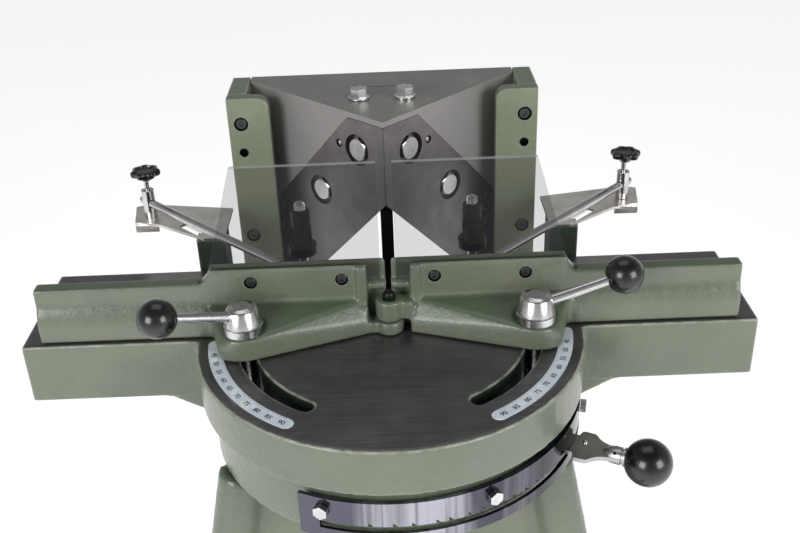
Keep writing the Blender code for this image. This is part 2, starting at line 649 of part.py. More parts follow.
# ---------------------------------------------------------------- pedal
def make_pedal(pivot):
    """Treadle arm with a cross tube, a roller pin in the draw bar's channel and a foot pad."""
    lean = Matrix.Rotation(-PEDAL_TILT, 4, "X")

    def swing(shape):
        """Turn a shape drawn level about the pivot to the stored pedal angle."""
        move = Matrix.Translation((0, PIVOT_Y, PIVOT_Z))
        shape.data.transform(move @ lean @ move.inverted())
        return shape

    side_x = BAR_W / 2 + 4 * MM + 6 * MM
    arms = []
    for side in (-1, 1):
        xs = sorted((side * side_x, side * (side_x + ARM_W / 2)))
        arms.append(box((xs[0], PIVOT_Y - PEDAL_REACH, PIVOT_Z - ARM_H / 2),
                        (xs[1], PIVOT_Y + 22 * MM, PIVOT_Z + ARM_H / 2)))
    nose = box((-side_x - LAP, PIVOT_Y - PEDAL_REACH, PIVOT_Z - ARM_H / 2 + 2 * MM),
               (side_x + LAP, PIVOT_Y - PEDAL_REACH + 30 * MM, PIVOT_Z + ARM_H / 2 - 2 * MM))
    tube = rod((-side_x - 30 * MM, PIVOT_Y, PIVOT_Z), (side_x + 30 * MM, PIVOT_Y, PIVOT_Z),
               PIVOT_R + 6 * MM)
    pin_y = PIVOT_Y - ROLLER_REACH
    roller = rod((-side_x - LAP, pin_y, PIVOT_Z), (side_x + LAP, pin_y, PIVOT_Z), ROLLER_R)
    arm = join(arms[0], nose, tube, arms[1], roller)
    bore = rod((-0.1, PIVOT_Y, PIVOT_Z), (0.1, PIVOT_Y, PIVOT_Z), PIVOT_R + 0.2 * MM)
    place(swing(cut(arm, bore)), "pedal_arm", "black_steel", pivot)
    pad = box((-70 * MM, PIVOT_Y - PEDAL_REACH - 70 * MM, PIVOT_Z + ARM_H / 2 + GAP),
              (70 * MM, PIVOT_Y - PEDAL_REACH + 25 * MM, PIVOT_Z + ARM_H / 2 + 10 * MM))
    place(swing(pad), "pedal_pad", "black_plastic", pivot)


def make_pedal_mount():
    """Shaft between two lugs that stand on the floor plate."""
    out = 75 * MM
    shaft = rod((-out - 5 * MM, PIVOT_Y, PIVOT_Z), (out + 5 * MM, PIVOT_Y, PIVOT_Z), PIVOT_R)
    lugs = []
    for side in (-1, 1):
        xs = sorted((side * (out - 14 * MM), side * out))
        lugs.append(box((xs[0], PIVOT_Y - 30 * MM, BASE_T + GAP),
                        (xs[1], PIVOT_Y + 30 * MM, PIVOT_Z + 26 * MM)))
    place(join(shaft, *lugs), "pedal_mount", "dark_green")


# ---------------------------------------------------------------- fences
def clamp_centre(side):
    return Vector((side * CLAMP_R * math.cos(CLAMP_REST), -CLAMP_R * math.sin(CLAMP_REST),
                   TABLE_Z))


def make_fence(name, side, swing):
    """Fence casting with its foot, clamp boss and hinge knuckle, and the clear guard."""
    z = TABLE_Z + GAP

    def slab(x0, x1, y0, y1, z0, z1):
        xs = sorted((side * x0, side * x1))
        return box((xs[0], y0, z0), (xs[1], y1, z1))

    face = FENCE_BACK - FENCE_WALL
    wall = slab(RECESS_END, FENCE_LENGTH, face, FENCE_BACK, z, TABLE_Z + FENCE_LOW_H)
    ledge = slab(RECESS_END, FENCE_LENGTH, face - FENCE_LEDGE, face + LAP, z,
                 TABLE_Z + FENCE_LEDGE_H)
    high = slab(RECESS_END, FENCE_HIGH_END, face, FENCE_BACK, TABLE_Z + FENCE_LOW_H - LAP,
                TABLE_Z + FENCE_HIGH_H)
    thin = slab(FENCE_GAP_HALF, RECESS_END + LAP, SLOT_BACK, FENCE_BACK, z,
                TABLE_Z + FENCE_HIGH_H)
    shelf = slab(FENCE_GAP_HALF, RECESS_END + LAP, GUARD_Y - GUARD_THICK / 2, FENCE_BACK,
                 TABLE_Z + KNUCKLE_TOP + 3 * MM, TABLE_Z + GUARD_SEAT - GAP)
    edge = [(RECESS_END, -7 * MM), (118 * MM, -FOOT_FRONT)]
    for step in range(4):
        turn = math.radians(-90 + 26 * step)
        edge.append((FOOT_CORNER_X + FOOT_CORNER_R * math.cos(turn),
                     FOOT_CORNER_R - FOOT_FRONT + FOOT_CORNER_R * math.sin(turn)))
    ends = (RECESS_END, FOOT_END)
    corners = [(side * x, y, z + h) for x, y in edge for h in (0, FOOT_H)]
    corners += [(side * x, face + LAP, z + h) for x in ends for h in (0, FOOT_WALL_H)]
    centre = clamp_centre(side)
    for step in range(24):
        turn = math.radians(15 * step)
        corners.append((centre.x + BOSS_R * math.cos(turn), centre.y + BOSS_R * math.sin(turn),
                        TABLE_Z + BOSS_H))
    low, top = z, TABLE_Z + KNUCKLE_SPLIT
    if side > 0:
        low, top = TABLE_Z + KNUCKLE_SPLIT + RUN, TABLE_Z + KNUCKLE_TOP
    fence = join(wall, ledge, high, thin, shelf, hull(corners))
    room = KNUCKLE_R + 1.5 * MM
    other_low, other_top = TABLE_Z + KNUCKLE_SPLIT, TABLE_Z + KNUCKLE_TOP + 2 * MM
    if side > 0:
        other_low, other_top = TABLE_Z - LAP, TABLE_Z + KNUCKLE_SPLIT + RUN
    fence = cut(fence, rod((0, 0, other_low), (0, 0, other_top), room))
    knuckle = rod((0, 0, low), (0, 0, top), KNUCKLE_R)
    arm = slab(0, RECESS_END + 2 * MM, -6 * MM, KNUCKLE_R - 2 * MM, low, top - 2 * MM)
    fence = join(fence, knuckle, arm)
    groove = slab(FENCE_GAP_HALF - LAP, GUARD_LOW_OUT + 4 * MM,
                  GUARD_Y - GUARD_THICK / 2 - GAP, GUARD_Y + GUARD_THICK / 2 + GAP,
                  TABLE_Z + GUARD_SEAT - GAP, TABLE_Z + FENCE_HIGH_H + 0.01)
    dish = rod((centre.x, centre.y, TABLE_Z + BOSS_H), (centre.x, centre.y, TABLE_Z + 0.06),
               HUB_R + 2.5 * MM)
    bolt_hole = rod((centre.x, centre.y, TABLE_Z - 0.01), (centre.x, centre.y, TABLE_Z + 0.06),
                    CLAMP_STUD_R + GAP)
    pin_hole = rod((0, 0, TABLE_Z - 0.01), (0, 0, TABLE_Z + 0.06), PIN_R + 0.2 * MM)
    fence = cut(fence, groove, dish, bolt_hole, pin_hole)
    place(fence, f"fence_{name}", "green_paint", swing)
    outline = [(GUARD_INNER, GUARD_SEAT), (GUARD_INNER, GUARD_TOP), (GUARD_TOP_OUT, GUARD_TOP),
               (GUARD_LOW_OUT, GUARD_SEAT)]
    guard = prism([(side * x, TABLE_Z + h) for x, h in outline], GUARD_Y - GUARD_THICK / 2,
                  GUARD_Y + GUARD_THICK / 2, "Y")
    place(guard, f"guard_{name}", "clear_acrylic", swing)


def make_clamp(name, side, spindle):
    """Hub with its stud through the table slot, the nut plate under it, and the ball lever."""
    centre = clamp_centre(side)
    base = TABLE_Z + BOSS_H + GAP
    skirt = rod((centre.x, centre.y, base), (centre.x, centre.y, base + 6 * MM), HUB_R)
    cone = rod((centre.x, centre.y, base + 6 * MM - LAP), (centre.x, centre.y, base + HUB_H),
               HUB_R, HUB_TOP_R)
    stud = rod((centre.x, centre.y, TABLE_Z - DISC_THICK - 12 * MM),
               (centre.x, centre.y, base + LAP), CLAMP_STUD_R)
    nut = rod((centre.x, centre.y, TABLE_Z - DISC_THICK - 10 * MM),
              (centre.x, centre.y, TABLE_Z - DISC_THICK - GAP), 9.5 * MM, sides=6)
    angle = LEVER_ANGLE[name]
    tip = centre + Vector((math.cos(angle), math.sin(angle), 0)) * LEVER_R
    tip.z = base + HUB_H + LEVER_RISE
    start = Vector((centre.x, centre.y, base + HUB_H * 0.55))
    reach = (tip - start).normalized()
    bar = rod(start, tip - reach * (CLAMP_BALL_R - 1.5 * MM), 4.6 * MM, 4.0 * MM, sides=16)
    hub = join(skirt, cone, stud, nut, bar)
    place(hub, f"clamp_lever_{name}", "bright_steel", spindle)
    knob = cut(ball(tip, CLAMP_BALL_R), rod(start, tip - reach * 12 * MM, 4.6 * MM + GAP,
                                            sides=16))
    place(knob, f"clamp_ball_{name}", "black_plastic", spindle)


# ---------------------------------------------------------------- index lever
def make_index_lever(swing):
    """Flat lever through the slots of skirt and index plate, with a ball grip."""
    turn = Matrix.Rotation(INDEX_REST, 4, "Z")
    z = TABLE_Z + INDEX_SLOT_Z
    half = LEVER_T / 2

    def lay(shape):
        shape.data.transform(turn)
        return shape

    blade = box((0, -LEVER_W / 2, z - half), (INDEX_R + 8 * MM, LEVER_W / 2, z + half))
    eye = rod((0, 0, z - 2 * half), (0, 0, z + 2 * half), PIVOT_STUD_R + 9 * MM)
    tongue = hull([(x, sy * width, z + sz * half) for sy in (-1, 1) for sz in (-1, 1)
                   for x, width in ((INDEX_R + 4 * MM, 17 * MM), (INDEX_R + 14 * MM, 19 * MM),
                                    (INDEX_REACH - 26 * MM, 8 * MM))])
    ferrule = rod((INDEX_REACH - 34 * MM, 0, z), (INDEX_REACH - INDEX_BALL_R + LAP, 0, z),
                  6.5 * MM, 8 * MM)
    lever = join(blade, eye, tongue, ferrule)
    hole = rod((0, 0, z - 0.02), (0, 0, z + 0.02), PIVOT_STUD_R + 0.2 * MM)
    place(lay(cut(lever, hole)), "index_lever", "bright_steel", swing)
    grip = cut(ball((INDEX_REACH, 0, z), INDEX_BALL_R),
               rod((INDEX_REACH - 60 * MM, 0, z),
                   (INDEX_REACH - INDEX_BALL_R + LAP + GAP, 0, z), 8 * MM + GAP))
    place(lay(grip), "index_ball", "black_plastic", swing)


def make_index_pivot():
    """Headed stud under the disc that the index lever turns on."""
    z = TABLE_Z + INDEX_SLOT_Z
    stud = rod((0, 0, z - LEVER_T - 3 * MM), (0, 0, TABLE_Z - WING_THICK - GAP), PIVOT_STUD_R)
    washer = rod((0, 0, z - LEVER_T - 5 * MM), (0, 0, z - LEVER_T - RUN), PIVOT_STUD_R + 6 * MM)
    place(join(stud, washer), "index_pivot", "dark_green")


# ---------------------------------------------------------------- moulding rests
def make_rests(slides, knobs, tips):
    for name, side in SIDES:
        inner = rod_point(side, ROD_IN_Y, ROD_Z)
        outer = rod_point(side, ROD_OUT_Y, ROD_Z)
        place(rod(inner, outer, ROD_R, sides=16), f"rest_rod_{name}", "bright_steel",
              slides[name])
        centre = rod_point(side, PILLAR_Y, 0)
        top = TABLE_Z + BLOCK_TOP + PLATE_T + 2 * GAP + PILLAR_H
        spindle = rod((centre.x, centre.y, top - 7 * MM),
                      (centre.x, centre.y, top + SPINDLE_SHOW), SPINDLE_R, sides=12)
        place(spindle, f"knob_spindle_{name}", "bright_steel", knobs[name])
        outline = []
        for step in range(42):
            turn = 2 * math.pi * step / 42
            radius = KNOB_R - 2.4 * MM + 2.4 * MM * math.cos(7 * turn)
            outline.append((centre.x + radius * math.cos(turn),
                            centre.y + radius * math.sin(turn)))
        star = prism(outline, top + SPINDLE_SHOW + GAP, top + SPINDLE_SHOW + KNOB_H)
        place(star, f"star_knob_{name}", "black_plastic", knobs[name])
        x, y = side * REST_X, REST_Y
        flange = rod((x, y, TABLE_Z + REST_LOW), (x, y, TABLE_Z + REST_LOW + FLANGE_H),
                     FLANGE_R)
        sleeve_top = TABLE_Z + REST_LOW + FLANGE_H + SLEEVE_H
        sleeve = rod((x, y, TABLE_Z + REST_LOW + FLANGE_H - LAP), (x, y, sleeve_top), SLEEVE_R)
        bore = rod((x, y, TABLE_Z), (x, y, sleeve_top - 8 * MM), STEM_R + GAP)
        place(cut(join(flange, sleeve), bore), f"rest_sleeve_{name}", "black_steel",
              tips[name])
        stem = rod((x, y, TABLE_Z - 20 * MM), (x, y, sleeve_top - 8 * MM - GAP), STEM_R)
        place(stem, f"rest_stem_{name}", "bright_steel", tips[name])
        tip = rod((x, y, sleeve_top + GAP), (x, y, sleeve_top + STUD_TIP_H), STUD_TIP_R)
        place(tip, f"rest_tip_{name}", "bright_steel", tips[name])


# ---------------------------------------------------------------- assembly
carriage_slide = axis_empty("carriage_slide", (0, HEAD_APEX, TABLE_Z))
head_slide = axis_empty("head_slide", (0, HEAD_APEX, HEAD_Z), carriage_slide)
pedal_pivot = axis_empty("pedal_pivot", (0, PIVOT_Y, PIVOT_Z))
index_axis = axis_empty("index_axis", (0, 0, SKIRT_Z))
make_pedestal()
make_table()
make_hinge_pin()
make_index_plate()
make_rails()
make_rest_mounts()
make_pedal_mount()
make_carriage(carriage_slide)
make_head(head_slide)
make_draw_bar(head_slide)
make_pedal(pedal_pivot)
make_index_pivot()
make_index_lever(index_axis)
rod_slides, knob_axes, tip_slides = {}, {}, {}
for side_name, side_sign in SIDES:
    fence_axis = axis_empty(f"fence_axis_{side_name}", (0, 0, TABLE_Z))
    make_fence(side_name, side_sign, fence_axis)
    clamp_axis = axis_empty(f"clamp_axis_{side_name}", clamp_centre(side_sign), fence_axis)
    make_clamp(side_name, side_sign, clamp_axis)
    rod_slides[side_name] = axis_empty(f"rod_slide_{side_name}",
                                       rod_point(side_sign, PILLAR_Y, ROD_Z))
    knob_axes[side_name] = axis_empty(f"knob_axis_{side_name}",
                                      rod_point(side_sign, PILLAR_Y, 70 * MM))
    tip_slides[side_name] = axis_empty(f"tip_slide_{side_name}",
                                       (side_sign * REST_X, REST_Y, TABLE_Z))
make_rests(rod_slides, knob_axes, tip_slides)
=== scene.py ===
"""Visual model of a treadle mitre guillotine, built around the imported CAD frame.

Castings are the CAD solids remeshed so that their edges become cast fillets. Machined and
turned pieces are bevelled copies, or are turned again on a finer profile. Lengths are metres.
"""
import json
import math
import random

import bmesh
import bpy
from mathutils import Matrix, Vector


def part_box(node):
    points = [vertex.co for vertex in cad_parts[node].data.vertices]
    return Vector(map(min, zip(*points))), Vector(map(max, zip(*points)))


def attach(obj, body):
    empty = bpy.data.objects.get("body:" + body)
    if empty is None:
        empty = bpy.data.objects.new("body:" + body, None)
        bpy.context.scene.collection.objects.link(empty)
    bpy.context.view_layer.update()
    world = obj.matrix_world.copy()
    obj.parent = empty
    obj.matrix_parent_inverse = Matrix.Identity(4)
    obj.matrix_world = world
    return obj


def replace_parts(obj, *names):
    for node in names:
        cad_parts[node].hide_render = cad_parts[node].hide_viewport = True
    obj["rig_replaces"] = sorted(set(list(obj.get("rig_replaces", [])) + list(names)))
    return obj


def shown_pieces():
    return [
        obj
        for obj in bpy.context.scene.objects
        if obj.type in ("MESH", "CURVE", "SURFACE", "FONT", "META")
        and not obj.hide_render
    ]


MM = 0.001
SIDES = (("left", -1), ("right", 1))

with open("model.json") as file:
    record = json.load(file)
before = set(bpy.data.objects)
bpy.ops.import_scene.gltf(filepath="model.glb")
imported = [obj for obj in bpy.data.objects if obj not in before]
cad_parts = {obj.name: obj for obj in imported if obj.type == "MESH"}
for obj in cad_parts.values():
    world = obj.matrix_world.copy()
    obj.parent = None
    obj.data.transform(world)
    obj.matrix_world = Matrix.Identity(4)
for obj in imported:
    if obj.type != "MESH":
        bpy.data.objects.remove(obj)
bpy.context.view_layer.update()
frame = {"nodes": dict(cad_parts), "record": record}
random.seed(7)

CAD = frame["nodes"]
BODY_OF = {node: body for body, nodes in frame["record"]["behaviour"]["bodies"].items()
           for node in nodes}
SLOT_OF = {row["node"]: row["material_slot"] for row in frame["record"]["subparts"]}
TABLE_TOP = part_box("table")[1].z


# ---------------------------------------------------------------- node materials
class Shader:
    """A node material under construction: coordinates, noise and a Principled shader."""

    def __init__(self, name, roughness=0.5, metallic=0.0, **sockets):
        self.material = bpy.data.materials.new(name)
        self.material.use_nodes = True
        self.tree = self.material.node_tree
        self.surface = self.tree.nodes["Principled BSDF"]
        self.surface.inputs["Roughness"].default_value = roughness
        self.surface.inputs["Metallic"].default_value = metallic
        for socket, value in sockets.items():
            self.surface.inputs[socket.replace("_", " ")].default_value = value
        self.place = self.tree.nodes.new("ShaderNodeTexCoord").outputs

    def link(self, source, target):
        self.tree.links.new(source, target)

    def stretched(self, scale):
        """Object coordinates scaled by a different factor along each axis."""
        node = self.tree.nodes.new("ShaderNodeMapping")
        node.inputs["Scale"].default_value = scale
        self.link(self.place["Object"], node.inputs["Vector"])
        return node.outputs[0]

    def noise(self, scale, detail=3.0, rough=0.55, vector=None):
        node = self.tree.nodes.new("ShaderNodeTexNoise")
        node.inputs["Scale"].default_value = scale
        node.inputs["Detail"].default_value = detail
        node.inputs["Roughness"].default_value = rough
        self.link(vector or self.place["Object"], node.inputs["Vector"])
        return node.outputs["Fac"]

    def spread(self, value, low, high, to_low=0.0, to_high=1.0):
        """Maps low..high of a value onto to_low..to_high, held at both ends."""
        node = self.tree.nodes.new("ShaderNodeMapRange")
        for socket, number in zip(("From Min", "From Max", "To Min", "To Max"),
                                  (low, high, to_low, to_high)):
            node.inputs[socket].default_value = number
        self.link(value, node.inputs["Value"])
        return node.outputs[0]

    def times(self, one, other, operation="MULTIPLY"):
        node = self.tree.nodes.new("ShaderNodeMath")
        node.operation = operation
        for socket, value in zip(node.inputs, (one, other)):
            if isinstance(value, (int, float)):
                socket.default_value = value
            else:
                self.link(value, socket)
        return node.outputs[0]

    def blend(self, amount, one, other):
        """A colour that goes from one to other; each is a colour or a socket."""
        node = self.tree.nodes.new("ShaderNodeMix")
        node.data_type = "RGBA"
        self.link(amount, node.inputs["Factor"])
        for socket, value in ((node.inputs[6], one), (node.inputs[7], other)):
            if isinstance(value, tuple):
                socket.default_value = (*value, 1.0)
            else:
                self.link(value, socket)
        return node.outputs[2]

    def mix_value(self, amount, one, other):
        node = self.tree.nodes.new("ShaderNodeMix")
        self.link(amount, node.inputs["Factor"])
        for socket, value in ((node.inputs["A"], one), (node.inputs["B"], other)):
            if isinstance(value, (int, float)):
                socket.default_value = value
            else:
                self.link(value, socket)
        return node.outputs[0]

    def component(self, vector, axis):
        node = self.tree.nodes.new("ShaderNodeSeparateXYZ")
        self.link(vector, node.inputs[0])
        return node.outputs[axis]

    def edges(self, low, high):
        """1 on convex edges, 0 on flat stretches."""
        return self.spread(self.tree.nodes.new("ShaderNodeNewGeometry").outputs["Pointiness"],
                           low, high)

    def colour(self, value):
        self.link(value, self.surface.inputs["Base Color"])

    def roughness(self, value):
        self.link(value, self.surface.inputs["Roughness"])

    def bump(self, height, distance, strength=1.0):
        node = self.tree.nodes.new("ShaderNodeBump")
        node.inputs["Distance"].default_value = distance
        node.inputs["Strength"].default_value = strength
        self.link(height, node.inputs["Height"])
        self.link(node.outputs[0], self.surface.inputs["Normal"])


IRON = (0.175, 0.165, 0.172)
IRON_DARK = (0.09, 0.083, 0.088)
ENAMEL = (0.136, 0.152, 0.108)
ENAMEL_SHADE = (0.104, 0.126, 0.086)
# Darker green for concave corners: painted shade, partly green overspray.
ENAMEL_CORNER_SHADE_AND_OVERSPRAY = (0.05, 0.14, 0.065)
# Darker green for faces that look up: painted shade.
ENAMEL_UPWARD_SHADE = (0.062, 0.094, 0.052)
# Pale colour for convex edges and the table rim: painted highlight, partly worn paint.
ENAMEL_HIGHLIGHT_AND_WEAR = (0.42, 0.44, 0.36)


def ground_look(shader, lines):
    """Colour, roughness and height of ground iron with tool lines stretched by lines."""
    streak = shader.noise(1.0, 4.0, 0.7, shader.stretched(lines))
    patch = shader.noise(26.0, 4.0, 0.6)
    shade = shader.times(shader.spread(streak, 0.35, 0.65, 0.0, 0.55),
                         shader.spread(patch, 0.35, 0.7, 0.0, 0.45), "ADD")
    colour = shader.blend(shade, IRON_DARK, IRON)
    rough = shader.spread(shade, 0.0, 1.0, 0.34, 0.5)
    return colour, rough, streak


def enamel(name, machined=None, colour=ENAMEL, shade=ENAMEL_SHADE, peel=1.0):
    """Thick enamel over a rough casting. Machined is (axis, level, facing): faces square to
    that axis beyond the level are bare ground iron."""
    shader = Shader(name, Coat_Weight=0.45, Coat_Roughness=0.16)
    grain = shader.noise(430.0, 2.0, 0.5)
    swell = shader.noise(120.0, 2.0, 0.5)
    tone = shader.noise(14.0, 4.0, 0.6)
    green = shader.blend(shader.spread(tone, 0.3, 0.72), shade, colour)
    point = shader.tree.nodes.new("ShaderNodeNewGeometry").outputs["Pointiness"]
    # Concave corners go darker and greener: painted shade, partly green overspray.
    corners = shader.spread(point, 0.485, 0.44)
    green = shader.blend(shader.times(corners, 0.6), green, ENAMEL_CORNER_SHADE_AND_OVERSPRAY)
    # Faces that look up are darkened towards a deeper green: painted shade.
    film = shader.spread(shader.component(shader.place["Normal"], 2), 0.2, 0.7)
    green = shader.blend(shader.times(film, 0.78), green, ENAMEL_UPWARD_SHADE)
    # Convex edges go pale where the tone noise allows: painted highlight, partly worn paint.
    edge_highlight_and_wear = shader.times(shader.spread(point, 0.515, 0.56), shader.spread(tone, 0.35, 0.6))
    green = shader.blend(shader.times(edge_highlight_and_wear, 0.45), green, ENAMEL_HIGHLIGHT_AND_WEAR)
    rough = shader.spread(grain, 0.3, 0.7, 0.34, 0.5)
    height = shader.times(shader.times(grain, 0.9 * peel), shader.times(swell, 1.6 * peel),
                          "ADD")
    if machined:
        axis, level, facing = machined
        iron, iron_rough, streak = ground_look(shader, (16.0, 900.0, 40.0))
        reach = shader.component(shader.place["Object"], axis)
        beyond = shader.spread(reach, level - facing * 0.7 * MM, level - facing * 0.45 * MM)
        square = shader.spread(shader.component(shader.place["Normal"], axis),
                               facing * 0.9, facing * 0.97)
        bare = shader.times(beyond, square)
        # Enamel within 0.14 m of the upright axis goes near black unless ground bare: painted shade
        # in the slot walls, pin hole, underside and skirt.
        width = shader.component(shader.place["Object"], 0)
        depth = shader.component(shader.place["Object"], 1)
        reach2 = shader.times(shader.times(width, width), shader.times(depth, depth), "ADD")
        recess_shade = shader.spread(reach2, 0.0204, 0.0196)
        green = shader.blend(recess_shade, green, (0.012, 0.022, 0.014))
        # A pale band just under the machined top, broken by noise: painted highlight along the rim,
        # partly worn paint.
        rim_highlight_and_wear = shader.times(shader.spread(reach, level - 2.6 * MM, level - 1.2 * MM),
                           shader.spread(shader.noise(70.0, 3.0, 0.6), 0.3, 0.6))
        green = shader.blend(shader.times(rim_highlight_and_wear, 0.6), green, ENAMEL_HIGHLIGHT_AND_WEAR)
        green = shader.blend(bare, green, iron)
        rough = shader.mix_value(bare, rough, iron_rough)
        height = shader.mix_value(bare, height, shader.times(streak, 0.08))
        shader.link(shader.times(bare, 0.85), shader.surface.inputs["Metallic"])
    shader.colour(green)
    shader.roughness(rough)
    shader.bump(height, 0.5 * MM)
    return shader.material


def ground_iron(name, lines):
    """Ground iron: bright on upright faces, darker and streaked on the top."""
    shader = Shader(name, metallic=0.85)
    colour, rough, streak = ground_look(shader, lines)
    cloud = shader.spread(shader.noise(9.0, 3.0, 0.5), 0.3, 0.7)
    upright = shader.blend(cloud, (0.31, 0.295, 0.283), (0.255, 0.246, 0.243))
    facing_up = shader.spread(shader.component(shader.place["Normal"], 2), 0.6, 0.9)
    top_tone = shader.blend(cloud, (0.31, 0.31, 0.283), (0.255, 0.257, 0.235))
    colour = shader.blend(facing_up, upright, shader.blend(shader.times(streak, 0.5), top_tone, colour))
    shader.link(shader.mix_value(facing_up, 0.12, 0.5), shader.surface.inputs["Metallic"])
    shader.colour(colour)
    shader.roughness(rough)
    shader.bump(streak, 0.04 * MM)
    return shader.material


def steel(name, bright, dull, rough, lines=(500.0, 500.0, 500.0), smudge=0.12):
    """Bare or plated steel with fine turning marks and finger smudges."""
    shader = Shader(name, metallic=1.0)
    marks = shader.noise(1.0, 3.0, 0.6, shader.stretched(lines))
    cloud = shader.noise(60.0, 4.0, 0.6)
    shader.colour(shader.blend(shader.spread(cloud, 0.35, 0.7), bright, dull))
    shader.roughness(shader.times(shader.spread(cloud, 0.3, 0.75, rough, rough + smudge),
                                  shader.spread(marks, 0.3, 0.7, 0.0, 0.06), "ADD"))
    shader.bump(marks, 0.02 * MM)
    return shader.material


def polished(name):
    """Polished strip with upright streaks, partly the marks of its rolling and partly painted
    reflections of the room around it.
    """
    shader = Shader(name, metallic=1.0)
    rolling_and_reflection_streaks = shader.noise(1.0, 3.0, 0.6, shader.stretched((22.0, 22.0, 1.5)))
    fine = shader.noise(1.0, 2.0, 0.5, shader.stretched((240.0, 240.0, 6.0)))
    tone = shader.times(shader.spread(rolling_and_reflection_streaks, 0.42, 0.56), shader.spread(fine, 0.2, 0.5))
    # Painted reflection: pale as far as 0.03 m right of the middle, fading to dark at 0.13 m.
    reach = shader.spread(shader.component(shader.place["Object"], 0), 0.03, 0.13)
    pale = shader.blend(reach, (0.38, 0.38, 0.43), (0.045, 0.045, 0.06))
    shader.colour(shader.blend(tone, shader.blend(reach, (0.1, 0.1, 0.125), (0.03, 0.03, 0.038)),
                               pale))
    shader.roughness(shader.spread(fine, 0.3, 0.7, 0.07, 0.14))
    shader.bump(fine, 0.01 * MM)
    return shader.material


def plastic(name, colour, rough, coat=0.6):
    """Moulded plastic with a faint flow pattern and dust."""
    shader = Shader(name, Coat_Weight=coat, Coat_Roughness=0.05)
    flow = shader.noise(90.0, 4.0, 0.6)
    pale = tuple(min(1.0, c * 1.5 + 0.012) for c in colour)
    shader.colour(shader.blend(shader.spread(flow, 0.5, 0.85), colour, pale))
    shader.roughness(shader.spread(flow, 0.3, 0.7, rough, rough + 0.1))
    shader.bump(flow, 0.03 * MM)
    return shader.material


def acrylic(name, alpha, colour):
    """Clear sheet, drawn as a thin grey film so that what is behind stays visible."""
    shader = Shader(name, Alpha=alpha, Specular_IOR_Level=0.2)
    haze = shader.noise(35.0, 3.0, 0.5)
    pale = tuple(min(1.0, c * 1.12) for c in colour)
    shader.colour(shader.blend(shader.spread(haze, 0.35, 0.7), colour, pale))
    shader.roughness(shader.spread(haze, 0.3, 0.7, 0.04, 0.1))
    return shader.material


LOOKS = {
    "green_paint": enamel("cast_enamel"),
    "table_paint": enamel("table_enamel", (2, TABLE_TOP, 1)),
    # A brighter copy of the cast enamel for the carriage and gibs: painted light.
    "carriage_paint": enamel("carriage_enamel_painted_light", colour=(0.232, 0.255, 0.18),
                             shade=(0.185, 0.212, 0.142)),
    "bracket_steel": steel("bracket_steel", (0.86, 0.83, 0.78), (0.66, 0.64, 0.6), 0.28),
    "dark_green": enamel("dark_enamel", colour=(0.045, 0.065, 0.045),
                         shade=(0.028, 0.042, 0.03), peel=0.5),
    "machined_iron": ground_iron("ground_iron", (30.0, 30.0, 700.0)),
    "knife_steel": steel("knife_steel", (0.25, 0.235, 0.232), (0.195, 0.183, 0.186), 0.34,
                         (40.0, 40.0, 900.0)),
    "bright_steel": steel("turned_steel", (0.66, 0.65, 0.65), (0.5, 0.49, 0.49), 0.16),
    "plate_steel": steel("stamped_plate", (0.5, 0.5, 0.5), (0.36, 0.36, 0.36), 0.3),
    "chrome": polished("polished_band"),
    "black_steel": steel("blackened_steel", (0.045, 0.045, 0.05), (0.02, 0.02, 0.022), 0.32),
    "screw_steel": steel("socket_screw", (0.17, 0.17, 0.17), (0.09, 0.09, 0.09), 0.3),
    "black_plastic": plastic("black_phenolic", (0.004, 0.004, 0.005), 0.22, 0.25),
    "scale_white": plastic("scale_enamel", (0.62, 0.69, 0.75), 0.4, 0.1),
    "print": plastic("scale_ink", (0.01, 0.012, 0.014), 0.5, 0.0),
    "sheet": acrylic("acrylic_sheet", 0.19, (0.03, 0.03, 0.034)),
    "sheet_edge": acrylic("acrylic_edge", 0.55, (0.42, 0.45, 0.45)),
}


# ---------------------------------------------------------------- mesh tools
def link(name, mesh, looks):
    piece = bpy.data.objects.new(name, mesh)
    bpy.context.scene.collection.objects.link(piece)
    mesh.materials.clear()
    for look in looks:
        mesh.materials.append(LOOKS[look])
    return piece


def settle(piece):
    """Replaces the mesh by the result of the modifiers."""
    bpy.context.view_layer.update()
    graph = bpy.context.evaluated_depsgraph_get()
    mesh = bpy.data.meshes.new_from_object(piece.evaluated_get(graph))
    piece.modifiers.clear()
    piece.data = mesh
    return piece


def copy_node(node, looks, tidy=True):
    """A welded copy of a CAD node's mesh, with flat stretches merged to single faces."""
    form = bmesh.new()
    form.from_mesh(CAD[node].data)
    bmesh.ops.remove_doubles(form, verts=form.verts, dist=0.004 * MM)
    if tidy:
        bmesh.ops.dissolve_limit(form, angle_limit=math.radians(0.5), verts=form.verts,
                                 edges=form.edges)
    mesh = bpy.data.meshes.new(node + "_form")
    form.to_mesh(mesh)
    form.free()
    return link(node + "_skin", mesh, looks)


def face_out(piece):
    """Makes the faces of a closed piece point out after a mirrored placing."""
    form = bmesh.new()
    form.from_mesh(piece.data)
    bmesh.ops.recalc_face_normals(form, faces=form.faces)
    form.to_mesh(piece.data)
    form.free()


def stand_in(piece, *nodes, slot=None):
    """The piece rides with the first node's body and hides the nodes."""
    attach(piece, BODY_OF[nodes[0]])
    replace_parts(piece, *nodes)
    return piece


def detail(piece, body, slot):
    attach(piece, body)
    return piece


def carve(piece, *cutters):
    for cutter in cutters:
        step = piece.modifiers.new("carve", "BOOLEAN")
        step.operation = "DIFFERENCE"
        step.solver = "EXACT"
        step.material_mode = "TRANSFER"
        step.object = cutter
        settle(piece)
        bpy.data.objects.remove(cutter, do_unlink=True)
    return piece


